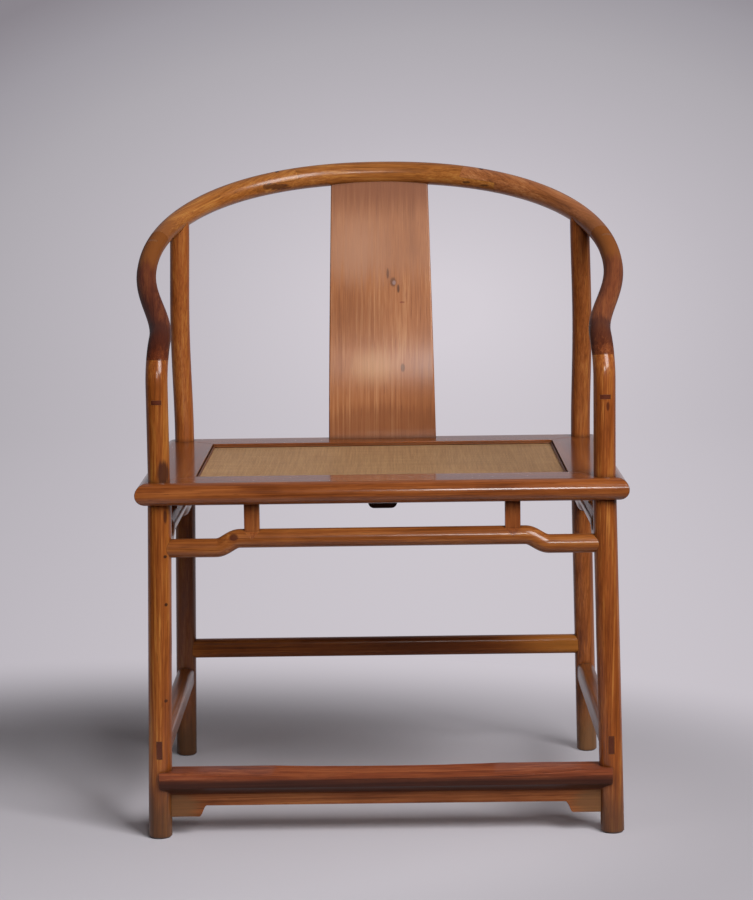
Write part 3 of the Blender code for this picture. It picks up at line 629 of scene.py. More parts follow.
    def add_mark(self, tree: Tree, place: Socket, streaks: Socket, colour: Socket, mark: Mark) -> Socket:
        """Lay a knot, stain, rubbed place or painted light or shade over the colour.

        Args:
            tree: The material's node tree.
            place: Object coordinates.
            streaks: Streaks that make the mark's outline ragged.
            colour: The colour so far.
            mark: The mark.

        Returns:
            The colour with the mark.
        """
        near = add_node(
            tree,
            "ShaderNodeMapping",
            {"vector_type": "TEXTURE"},
            {"Location": mark.middle, "Scale": mark.reach},
            {"Vector": place},
        )
        away = add_node(tree, "ShaderNodeVectorMath", {"operation": "LENGTH"}, links={0: near.outputs["Vector"]})
        rough = add_node(
            tree,
            "ShaderNodeMath",
            {"operation": "MULTIPLY_ADD"},
            {1: mark.ragged},
            {0: streaks, 2: away.outputs["Value"]},
        )
        half = mark.ragged / 2
        share = add_node(
            tree,
            "ShaderNodeMapRange",
            {"interpolation_type": "SMOOTHSTEP"},
            {"From Min": mark.core + half, "From Max": 1.0 + half, "To Min": mark.strength, "To Max": 0.0},
            {"Value": rough.outputs[0]},
        )
        laid = add_node(
            tree,
            "ShaderNodeMix",
            {"data_type": "RGBA"},
            {7: linear(mark.tint)},
            {0: share.outputs["Result"], 6: colour},
        )
        return laid.outputs[2]

    def add_foot_wear(self, tree: Tree, place: Socket, cloud: Socket, colour: Socket, tint: str) -> Socket:
        """Turn the wood greyer towards the floor, where damp and brooms have taken the polish off.

        Args:
            tree: The material's node tree.
            place: Object coordinates.
            cloud: Broad change that breaks the edge.
            colour: The colour so far.
            tint: The worn colour.

        Returns:
            The colour with the worn foot.
        """
        height = add_node(tree, "ShaderNodeSeparateXYZ", links={0: place}).outputs["Z"]
        ragged = add_node(tree, "ShaderNodeMath", {"operation": "MULTIPLY_ADD"}, {1: 0.10}, {0: cloud, 2: height})
        share = add_node(
            tree,
            "ShaderNodeMapRange",
            {"interpolation_type": "SMOOTHSTEP"},
            {"From Min": 0.065, "From Max": 0.165, "To Min": 0.75, "To Max": 0.0},
            {"Value": ragged.outputs[0]},
        )
        laid = add_node(
            tree, "ShaderNodeMix", {"data_type": "RGBA"}, {7: linear(tint)}, {0: share.outputs["Result"], 6: colour}
        )
        return laid.outputs[2]

    def add_shade_and_wear(self, tree: Tree, cloud: Socket, colour: Socket) -> Socket:
        """Darken the corners by ambient occlusion, as painted shade that also stands for dust and old wax, and rub the
        arrises paler.

        Args:
            tree: The material's node tree.
            cloud: Broad change that breaks up the rubbing.
            colour: The colour so far.

        Returns:
            The used colour.
        """
        # Painted shade: ambient occlusion darkens the corners towards near black, standing also for dust and old wax
        corner = add_node(tree, "ShaderNodeAmbientOcclusion", {"samples": 6}, {"Distance": 0.010})
        shade_and_dust = add_node(
            tree,
            "ShaderNodeMapRange",
            values={"From Min": 0.30, "From Max": 0.85, "To Min": self.soil_and_shade, "To Max": 0.0},
            links={"Value": corner.outputs["AO"]},
        )
        shaded_and_soiled = add_node(
            tree, "ShaderNodeMix", {"data_type": "RGBA"}, {7: linear("#20120b")}, {0: shade_and_dust.outputs["Result"], 6: colour}
        )
        arris = add_node(tree, "ShaderNodeAmbientOcclusion", {"samples": 6, "inside": True}, {"Distance": 0.0035})
        bare = add_node(
            tree,
            "ShaderNodeMapRange",
            values={"From Min": 0.25, "From Max": 0.60, "To Min": self.rubbed, "To Max": 0.0},
            links={"Value": arris.outputs["AO"]},
        )
        broken = add_node(
            tree, "ShaderNodeMath", {"operation": "MULTIPLY"}, links={0: bare.outputs["Result"], 1: cloud}
        )
        rubbed = add_node(
            tree,
            "ShaderNodeMix",
            {"data_type": "RGBA"},
            {7: linear(self.light)},
            {0: broken.outputs[0], 6: shaded_and_soiled.outputs[2]},
        )
        return rubbed.outputs[2]

    def add_relief(self, tree: Tree, place: Socket, fibre: Socket, pores: Socket) -> Socket:
        """Add the long waves of the hand plane, and over them the fibre and the pores.

        Args:
            tree: The material's node tree.
            place: Object coordinates.
            fibre: Fine fibre.
            pores: Short dark dashes.

        Returns:
            The bumped normal.
        """
        waves = add_node(
            tree,
            "ShaderNodeTexNoise",
            values={"Scale": 1.0, "Detail": 1.0},
            links={"Vector": self.lay(tree, place, (60.0, 16.0, 16.0))},
        )
        planed = add_node(
            tree,
            "ShaderNodeBump",
            values={"Strength": 0.25, "Distance": 0.0012},
            links={"Height": waves.outputs["Fac"]},
        )
        height = add_node(tree, "ShaderNodeMath", {"operation": "MULTIPLY_ADD"}, {1: -0.8}, {0: pores, 2: fibre})
        bump = add_node(
            tree,
            "ShaderNodeBump",
            values={"Strength": 0.22, "Distance": 0.0004},
            links={"Height": height.outputs[0], "Normal": planed.outputs["Normal"]},
        )
        return bump.outputs["Normal"]


@dataclass(frozen=True)
class WovenCane:
    """Split cane woven over and under, gone tan with age.

    It gives the eye a close dull check of rounded strands, each a little lighter or darker than the next.
    """

    name: str = "split_cane_weave"
    tan: str = "#ba8f65"
    pale: str = "#cea476"
    brown: str = "#a07852"
    strand_mm: float = 2.2
    shade_mm: float = 90.0
    # A wave at this scale has one crown to each strand
    crown_scale: float = 0.314

    def make(self) -> bpy.types.Material:
        """Make the material.

        Returns:
            The material with its node tree.
        """
        skin, tree, shader, place = new_skin(self.name, {"Roughness": 0.62, "IOR": 1.45})
        pitch = self.strand_mm / 1000
        over = add_node(
            tree,
            "ShaderNodeTexChecker",
            values={"Scale": 1.0, "Color1": (1, 1, 1, 1), "Color2": (0, 0, 0, 1)},
            links={"Vector": self.strand_units(tree, place, (pitch, pitch, 1.0))},
        )
        length = self.shade_mm / 1000
        heights = []
        shades = []
        for direction, size in (("X", (pitch, length, 1.0)), ("Y", (length, pitch, 1.0))):
            crown = add_node(
                tree,
                "ShaderNodeTexWave",
                {"wave_type": "BANDS", "bands_direction": direction, "wave_profile": "SIN"},
                {"Scale": self.crown_scale, "Distortion": 0.25, "Detail": 1.0},
                {"Vector": self.strand_units(tree, place, (pitch, pitch, 1.0))},
            )
            heights.append(crown.outputs["Fac"])
            shade = add_node(
                tree,
                "ShaderNodeTexNoise",
                values={"Scale": 1.0, "Detail": 2.0},
                links={"Vector": self.strand_units(tree, place, size)},
            )
            shades.append(shade.outputs["Fac"])
        height = add_node(
            tree, "ShaderNodeMix", {"data_type": "FLOAT"}, links={0: over.outputs["Fac"], 2: heights[0], 3: heights[1]}
        )
        shade = add_node(
            tree, "ShaderNodeMix", {"data_type": "FLOAT"}, links={0: over.outputs["Fac"], 2: shades[0], 3: shades[1]}
        )
        ramp = add_node(tree, "ShaderNodeValToRGB", links={"Fac": shade.outputs[0]})
        stops = ramp.color_ramp.elements
        stops[0].position, stops[0].color = 0.30, linear(self.brown)
        stops[1].position, stops[1].color = 0.72, linear(self.pale)
        stops.new(0.50).color = linear(self.tan)
        # Painted shade: each strand darkens where it dips under its neighbour
        hollow = add_node(
            tree,
            "ShaderNodeMapRange",
            values={"From Min": 0.0, "From Max": 0.5, "To Min": 0.30, "To Max": 0.0},
            links={"Value": height.outputs[0]},
        )
        woven = add_node(
            tree,
            "ShaderNodeMix",
            {"data_type": "RGBA"},
            {7: linear("#4a3624")},
            {0: hollow.outputs["Result"], 6: ramp.outputs["Color"]},
        )
        bump = add_node(
            tree, "ShaderNodeBump", values={"Strength": 0.6, "Distance": 0.0007}, links={"Height": height.outputs[0]}
        )
        tree.links.new(woven.outputs[2], shader.inputs["Base Color"])
        tree.links.new(bump.outputs["Normal"], shader.inputs["Normal"])
        return skin

    def strand_units(self, tree: Tree, place: Socket, size: Point) -> Socket:
        """Turn a place into strands of a size in metres."""
        settings = {"vector_type": "TEXTURE"}
        return add_node(tree, "ShaderNodeMapping", settings, {"Scale": size}, {"Vector": place}).outputs["Vector"]


@dataclass(frozen=True)
class Layout:
    """Places that several sub-assemblies share, from the middle of the seat at floor level."""

    seat_width: float = 0.700
    seat_depth: float = 0.532
    seat_top: float = 0.519
    seat_thickness: float = 0.032
    leg_x: float = 0.3175
    leg_y: float = 0.230
    splay_x: float = 0.010
    front_splay_y: float = 0.005
    rear_splay_y: float = 0.018
    front_leg: float = 0.0340
    rear_leg: float = 0.0322
    front_post: float = 0.0316
    rear_post: float = 0.0306
    foot_chamfer: float = 0.0025
    post_lap: float = 0.122
    post_scarf: float = 0.0245

    @property
    def seat_under(self) -> float:
        """The height of the seat frame's underside."""
        return self.seat_top - self.seat_thickness

    def leg_radius(self, end: End) -> float:
        """The radius of a leg below the seat."""
        return (self.front_leg if end is End.FRONT else self.rear_leg) / 2

    def post_radius(self, end: End) -> float:
        """The radius of a post above the seat."""
        return (self.front_post if end is End.FRONT else self.rear_post) / 2

    def leg_axis(self, side: Side, end: End, height: float) -> Vector:
        """Find the axis of a splayed leg.

        Args:
            side: Left or right.
            end: Front or rear.
            height: Height above the floor.

        Returns:
            The point on the axis at that height.
        """
        drop = (self.seat_under - height) / self.seat_under
        splay = self.front_splay_y if end is End.FRONT else self.rear_splay_y
        x = side.value * (self.leg_x + self.splay_x * drop)
        return Vector((x, end.value * (self.leg_y + splay * drop), height))

    def leg_bar(self, side: Side, end: End, gap: float = 0.0) -> Piece:
        """Turn a leg's round bar alone, to cut others with.

        Args:
            side: Left or right.
            end: Front or rear.
            gap: How much thicker it is all round than the leg.

        Returns:
            The tool.
        """
        radius = self.leg_radius(end) + gap
        points = [self.leg_axis(side, end, height) for height in (-OVERRUN, self.seat_under + OVERRUN)]
        return round_bar("leg_tool", points, [radius, radius])


@dataclass
class CrestLine:
    """The axis from the middle of the back, round one arm and down the front post to the seat."""

    layout: Layout
    back_overhang: float = 0.089
    back_rise: float = 0.421
    side_overhang: float = 0.004
    reach: float = 0.303
    oval: float = 2.20
    slope: float = 0.445
    end_slope: float = 0.300
    end_inset: float = 0.002
    bend_radius: float = 0.063
    back_radius: float = 0.0181
    arm_radius: float = 0.01465
    points: list[Vector] = field(default_factory=list)
    radii: list[float] = field(default_factory=list)

    def __post_init__(self) -> None:
        """Trace the line in short steps and add up their lengths."""
        layout = self.layout
        self.back_y = layout.seat_depth / 2 + self.back_overhang
        self.back_z = layout.seat_top + self.back_rise
        self.half_width = layout.seat_width / 2 + self.side_overhang
        self.end_x = layout.leg_x - self.end_inset
        self.post_radius = layout.front_post / 2
        self.trace_back(steps=120)
        self.trace_arm(steps=60)
        self.trace_bend(steps=32)
        self.lengths = [0.0]
        for start, stop in zip(self.points, self.points[1:]):
            self.lengths.append(self.lengths[-1] + (stop - start).length)
        self.bend_end = self.lengths[-1]
        self.points.append(Vector((layout.leg_x, -layout.leg_y, layout.seat_under)))
        self.radii.append(self.post_radius)
        self.lengths.append(self.bend_end + (self.points[-1] - self.points[-2]).length)

    def trace_back(self, steps: int) -> None:
        """Trace a quarter of a squared ellipse on a sloping plane, from the back to the widest point.

        Args:
            steps: How many steps it takes.
        """
        power = 2 / self.oval
        for step in range(steps + 1):
            turn = math.pi / 2 * step / steps
            x = self.half_width * math.sin(turn) ** power
            y = self.back_y - self.reach + self.reach * max(math.cos(turn), 0.0) ** power
            z = self.back_z - self.slope * (self.back_y - y)
            self.points.append(Vector((x, y, z)))
            self.radii.append(self.back_radius + (self.arm_radius - self.back_radius) * ease(step / steps))

    def trace_arm(self, steps: int) -> None:
        """Trace the arm, which draws in and flattens towards the start of the bend.

        Args:
            steps: How many steps it takes.
        """
        start = self.points[-1]
        angle = math.pi / 2 - math.atan(self.end_slope)
        run = start.y + self.layout.leg_y - self.bend_radius * (1 - math.cos(angle))
        lift = (self.slope - self.end_slope) / (2 * run)
        for step in range(1, steps + 1):
            travel = run * step / steps
            x = start.x + (self.end_x - start.x) * ease(step / steps)
            self.points.append(Vector((x, start.y - travel, start.z - self.slope * travel + lift * travel**2)))
            self.radii.append(self.arm_radius + (self.post_radius - self.arm_radius) * step / steps)

    def trace_bend(self, steps: int) -> None:
        """Trace the arc in which the arm turns down into the front post.

        Args:
            steps: How many steps it takes.
        """
        start = self.points[-1]
        angle = math.pi / 2 - math.atan(self.end_slope)
        middle_y = -self.layout.leg_y + self.bend_radius
        middle_z = start.z - self.bend_radius * math.sin(angle)
        for step in range(1, steps + 1):
            turn = angle * (1 - step / steps)
            x = start.x + (self.layout.leg_x - start.x) * ease(step / steps)
            y = middle_y - self.bend_radius * math.cos(turn)
            self.points.append(Vector((x, y, middle_z + self.bend_radius * math.sin(turn))))
            self.radii.append(self.post_radius)

    def at(self, distance: float, side: Side) -> tuple[Vector, float]:
        """Find a place on the line.

        Args:
            distance: How far from the middle of the back; below 0 it is on the other side.
            side: Which half of the chair.

        Returns:
            The point and the rail's radius there.
        """
        sign = side.value if distance >= 0 else -side.value
        distance = abs(distance)
        index = next((i for i, length in enumerate(self.lengths) if i and distance <= length), len(self.lengths) - 1)
        share = (distance - self.lengths[index - 1]) / (self.lengths[index] - self.lengths[index - 1])
        point = self.points[index - 1].lerp(self.points[index], share)
        radius = self.radii[index - 1] + share * (self.radii[index] - self.radii[index - 1])
        return Vector((sign * point.x, point.y, point.z)), radius

    def distance_over(self, x: float) -> float:
        """Find how far along the line the back of the rail passes a width.

        Args:
            x: The distance from the chair's middle.

        Returns:
            The distance along the line.
        """
        index = next(i for i, point in enumerate(self.points) if point.x >= x)
        low, high = self.points[index - 1].x, self.points[index].x
        share = (x - low) / (high - low)
        return self.lengths[index - 1] + share * (self.lengths[index] - self.lengths[index - 1])

    def stretch(self, start: float, stop: float, side: Side, step: float = 0.007) -> tuple[list[Vector], list[float]]:
        """Walk a stretch of the line.

        Args:
            start: Distance where it starts.
            stop: Distance where it stops.
            side: Which half of the chair.
            step: The longest step.

        Returns:
            The points and the radii.
        """
        count = math.ceil((stop - start) / step)
        found = [self.at(start + (stop - start) * turn / count, side) for turn in range(count + 1)]
        return [point for point, _ in found], [radius for _, radius in found]


@dataclass
class Scarf:
    """A wedged scarf joint: two half-round tongues lie on each other and a wedge locks them."""

    line: CrestLine
    distance: float
    side: Side
    lap: float
    toward: Vector
    wedge_width: float = 0.0145
    wedge_height: float = 0.0056

    def lie(self, distance: float | None = None) -> Matrix:
        """Find the joint's axes: X along the rail, Y towards the outer tongue.

        Args:
            distance: Where on the line their origin lies, if not in the middle of the lap.

        Returns:
            The lie of a board on those axes.
        """
        start = self.line.at(self.distance - self.lap / 2, self.side)[0]
        stop = self.line.at(self.distance + self.lap / 2, self.side)[0]
        along = (stop - start).normalized()
        normal = (self.toward - along * self.toward.dot(along)).normalized()
        middle = (start + stop) / 2 if distance is None else self.line.at(distance, self.side)[0]
        return facing(along, normal, middle)

    def tongue_tool(self, outer: bool) -> Piece:
        """Shape what is cut from one of the two sections: the other's tongue and all beyond the lap.

        Args:
            outer: Whether the section with the outer tongue is cut.

        Returns:
            The tool.
        """
        half = self.lap / 2
        steps = [
            (-half, -GAP / 2),
            (-half, REACH),
            (half + REACH, REACH),
            (half + REACH, -REACH),
            (half - GAP, -REACH),
            (half - GAP, -GAP / 2),
        ]
        if outer:
            steps = [(-along, -up) for along, up in steps]
        return board("tongue_tool", steps, 2 * REACH, self.lie())

    def join(self, inner: Piece, outer: Piece, name: str) -> Piece:
        """Cut both sections and drive the wedge.

        Args:
            inner: The section whose tongue lies inside.
            outer: The section whose tongue lies outside.
            name: The wedge's name.

        Returns:
            The wedge, its ends flush with the rail.
        """
        carve(inner, self.tongue_tool(False))
        carve(outer, self.tongue_tool(True))
        place = self.lie(self.distance)
        wedges = []
        for label, grow in ((name, 0.0), ("inner_slot", GAP), ("outer_slot", GAP)):
            half = self.wedge_height / 2 + grow
            outline = [(-half * 1.1, REACH), (half * 1.1, REACH), (half * 0.9, -REACH), (-half * 0.9, -REACH)]
            wedges.append(board(label, outline, self.wedge_width + 2 * grow, place))
        carve(inner, wedges[1])
        carve(outer, wedges[2])
        reach = self.lap / 2 + SPARE
        skin = round_bar("wedge_skin", *self.line.stretch(self.distance - reach, self.distance + reach, self.side))
        carve(wedges[0], skin, "INTERSECT")
        return wedges[0]


@dataclass
class Chair:
    """The raw pieces that later sub-assemblies join to."""

    layout: Layout
    line: CrestLine
    raw: dict[str, Piece] = field(default_factory=dict)


@dataclass
class LegPosts:
    """Four legs, each in one piece with the post above the seat."""

    chair: Chair
    # How far above the seat frame's underside a post takes on its own thickness
    front_step: float = 0.001
    rear_step: float = 0.0005
    rear_bow: float = 0.003
    steps: int = 24

    def build(self) -> None:
        """Turn the four posts and keep them as raw pieces."""
        layout, line = self.chair.layout, self.chair.line
        for side in Side:
            top = line.bend_end + layout.post_scarf - layout.post_lap / 2 - SPARE
            points, radii = line.stretch(top, line.lengths[-1] - self.front_step, side)
            self.keep(side, End.FRONT, points[::-1], radii[::-1])
            points = self.rear_line(side)
            self.keep(side, End.REAR, points, [layout.post_radius(End.REAR)] * len(points))

    def keep(self, side: Side, end: End, points: list[Vector], radii: list[float]) -> None:
        """Turn one post.

        Args:
            side: Left or right.
            end: Front or rear.
            points: The post's axis from the seat upwards.
            radii: Its radii.
        """
        layout = self.chair.layout
        radius = layout.leg_radius(end)
        chamfer = layout.foot_chamfer
        shaft = [layout.seat_under * step / self.steps for step in range(1, self.steps)]
        heights = (-OVERRUN, 0.0, chamfer, *shaft, layout.seat_under - GAP)
        leg = [layout.leg_axis(side, end, height) for height in heights]
        thick = [radius - chamfer, radius - chamfer] + [radius] * (len(leg) - 2)
        name = f"{tag(end)}_leg_post_{tag(side)}"
        piece = round_bar(name, leg + points, thick + radii)
        saw_off(piece, (0, 0, 0), (0, 0, -1))
        self.chair.raw[f"{tag(end)}_post_{tag(side)}"] = piece

    def rear_line(self, side: Side) -> list[Vector]:
        """Trace the rear post's axis from the seat to the crest rail's axis, bowed a little outwards.

        Args:
            side: Left or right.

        Returns:
            The points of the axis.
        """
        layout, line = self.chair.layout, self.chair.line
        top = line.at(line.distance_over(line.end_x), side)[0]
        foot = Vector((side.value * layout.leg_x, layout.leg_y, layout.seat_top))
        points = [Vector((foot.x, foot.y, layout.seat_under + self.rear_step))]
        for step in range(2 * self.steps + 1):
            share = step / (2 * self.steps)
            point = foot.lerp(top, share)
            point.y = foot.y + (top.y - foot.y) * ease(share)
            point.x += side.value * self.rear_bow * math.sin(math.pi * share) ** 2
            points.append(point)
        return points

    def dress(self) -> None:
        """Finish the posts in golden wood with worn feet, stains, dowel spots and painted shade on the rear left leg.
        """
        spots = {
            "front_post_left": (
                Mark((-0.3085, -0.2994, 0.5320), (0.0115, 0.02, 0.0230), "#43241a", 0.90, 0.9),
                Mark((-0.3100, -0.3000, 0.4126), (0.0030, 0.02, 0.0030), "#2c1a12", 0.9, 0.2),
                Mark((-0.3103, -0.3000, 0.3431), (0.0028, 0.02, 0.0032), "#2c1a12", 0.9, 0.2),
                Mark((-0.3137, -0.3000, 0.2031), (0.0030, 0.02, 0.0030), "#2c1a12", 0.8, 0.2),
                Mark((-0.3086, -0.3000, 0.4703), (0.0030, 0.02, 0.0130), "#3f1e14", 0.8, 0.4),
            ),
            "front_post_right": (
                Mark((0.3211, -0.2994, 0.6200), (0.0030, 0.02, 0.0085), "#4a2012", 0.85, 0.3),
            ),
            "rear_post_left": (
                # Painted shade: the rear left leg darkened below the seat, where the seat's shadow falls
                Mark((-0.3250, 0.1900, 0.2000), (0.10, 0.20, 0.34), "#4f2711", 0.60, 0.4),
            ),
        }
        woods = {
            "front_post_left": ("#8f4c1d", "#bb7d38", "#5c2b0e", "#46301c"),
            "front_post_right": ("#8f4b1f", "#b87a39", "#5d2c12", "#442c1b"),
            "rear_post_left": ("#955124", "#b47538", "#623012", "#453019"),
            "rear_post_right": ("#925025", "#b37139", "#602f15", "#6a4e30"),
        }
        for index, (node, piece) in enumerate(sorted(self.chair.raw.items())):
            if "_post_" not in node:
                continue
            heart, light, dark, foot = woods[node]
            finish = Hardwood(
                name=f"waxed_hardwood_{piece.name}",
                heart=heart,
                light=light,
                dark=dark,
                grain=(0.02, 0.03, 1.0),
                seed=index * 1.7,
                foot=foot,
                marks=spots.get(node, ()),
            )
            settle(piece, finish, node)


@dataclass
class CrestRail:
    """The horseshoe crest rail: a back section, two shoulders and two arms, scarfed and wedged."""

    chair: Chair
    shoulder_back: float = 0.206
    shoulder_front: float = 0.105
    rail_lap: float = 0.060
    stain_rise: float = 0.105

    @property
    def joints(self) -> tuple[float, float, float]:
        """How far along the line the joints lie.

        Returns:
            The distances of the back joint, the arm joint and the post joint.
        """
        layout, line = self.chair.layout, self.chair.line
        over = line.distance_over(line.end_x)
        return over - self.shoulder_back, over + self.shoulder_front, line.bend_end + layout.post_scarf

    def build(self) -> None:
        """Bend the five sections, seat the rear posts and cut the joints."""
        line, raw = self.chair.line, self.chair.raw
        post_lap = self.chair.layout.post_lap
        back, front, foot = self.joints
        reach = self.rail_lap / 2 + SPARE
        raw["crest_rail_center"] = round_bar("rail_back", *line.stretch(-back - reach, back + reach, Side.RIGHT))
        for side in Side:
            word = tag(side)
            shoulder = round_bar(f"rail_shoulder_{word}", *line.stretch(back - reach, front + reach, side))
            arm_line = line.stretch(front - reach, foot + post_lap / 2 + SPARE, side)
            arm = round_bar(f"rail_arm_{word}", *arm_line)
            post = raw[f"rear_post_{word}"]
            carve(post, grown(shoulder))
            scarfs = (
                ("rail_wedge_back", back, self.rail_lap, UP, raw["crest_rail_center"], shoulder),
                ("rail_wedge_arm", front, self.rail_lap, UP, shoulder, arm),
                ("post_wedge", foot, post_lap, -NORTH, arm, raw[f"front_post_{word}"]),
            )
            for name, distance, lap, toward, inner, outer in scarfs:
                scarf = Scarf(line, distance, side, lap, toward)
                raw[f"{name}_{word}"] = scarf.join(inner, outer, f"{name.replace('wedge', 'key')}_{word}")
            raw[f"crest_rail_shoulder_{word}"] = shoulder
            raw[f"crest_rail_arm_{word}"] = arm

    def dress(self) -> None:
        """Finish the back and shoulders golden, the arms red-brown and the wedges dark."""
        golden = {"heart": "#a0602a", "light": "#c08542", "dark": "#6c3c17"}
        ruddy = {"heart": "#a26238", "light": "#c08a5a", "dark": "#6e3f22"}
        spots = (
            Mark((-0.172, 0.262, 0.921), (0.036, 0.03, 0.0065), "#4f2a15", 0.85, 1.2),
            Mark((0.1408, 0.272, 0.9236), (0.008, 0.03, 0.0028), "#3a2012", 0.75, 0.5),
            Mark((0.1700, 0.265, 0.9183), (0.010, 0.03, 0.0026), "#3a2012", 0.75, 0.5),
        )
        back = Hardwood("waxed_hardwood_rail_back", grain=(1, 0, 0), polish_roughness=0.22, marks=spots, **golden)
        settle(self.chair.raw["crest_rail_center"], back, "crest_rail_center")
        for side in Side:
            word = tag(side)
            marks = spots[:1] if side is Side.LEFT else spots[1:]
            top, low = (
                self.chair.line.at(distance, side)[0] + NORTH * SEAT_MIDDLE_Y
                for distance in (self.joints[1], self.joints[2] - self.stain_rise)
            )
            shoulder = Hardwood(
                f"waxed_hardwood_shoulder_{word}",
                grain=(side.value * 0.62, -0.68, -0.30),
                seed=side.value * 0.8,
                polish_roughness=0.22,
                marks=(*marks, Mark(tuple(top), (0.10, 0.10, 0.08), "#844c20", 0.75, 0.8)),
                **(ruddy if side is Side.RIGHT else golden),
            )
            arm = Hardwood(
                f"waxed_hardwood_arm_{word}",
                heart="#733c22" if side is Side.RIGHT else "#632f1b",
                light="#8d522c" if side is Side.RIGHT else "#7a4324",
                dark="#492211" if side is Side.RIGHT else "#3d1b10",
                grain=(side.value * -0.10, -0.93, -0.36),
                seed=side.value * 2.1,
                shine=0.0,
                polish=0.25,
                marks=(
                    Mark(tuple(top), (0.10, 0.10, 0.075), "#844c20", 0.85, 0.9),
                    Mark(tuple(low), (0.040, 0.060, 0.040), "#3f1d15", 0.70, 0.8),
                ),
            )
            settle(self.chair.raw[f"crest_rail_shoulder_{word}"], shoulder, f"crest_rail_shoulder_{word}")
            settle(self.chair.raw[f"crest_rail_arm_{word}"], arm, f"crest_rail_arm_{word}")
            wedges = {
                "rail_wedge_back": ("#4c2415", "#5f311d", "#35170d"),
                "rail_wedge_arm": ("#804a20", "#95602c", "#633716"),
                "post_wedge": ("#5a2b1b", "#6a3724", "#451f13"),
            }
            for node, woods in wedges.items():
                wedge = Hardwood(f"dark_hardwood_{node}_{word}", *woods, (0.2, 1, 0.1), figure=0.8, soil_and_shade=0.2)
                settle(self.chair.raw[f"{node}_{word}"], wedge, f"{node}_{word}")


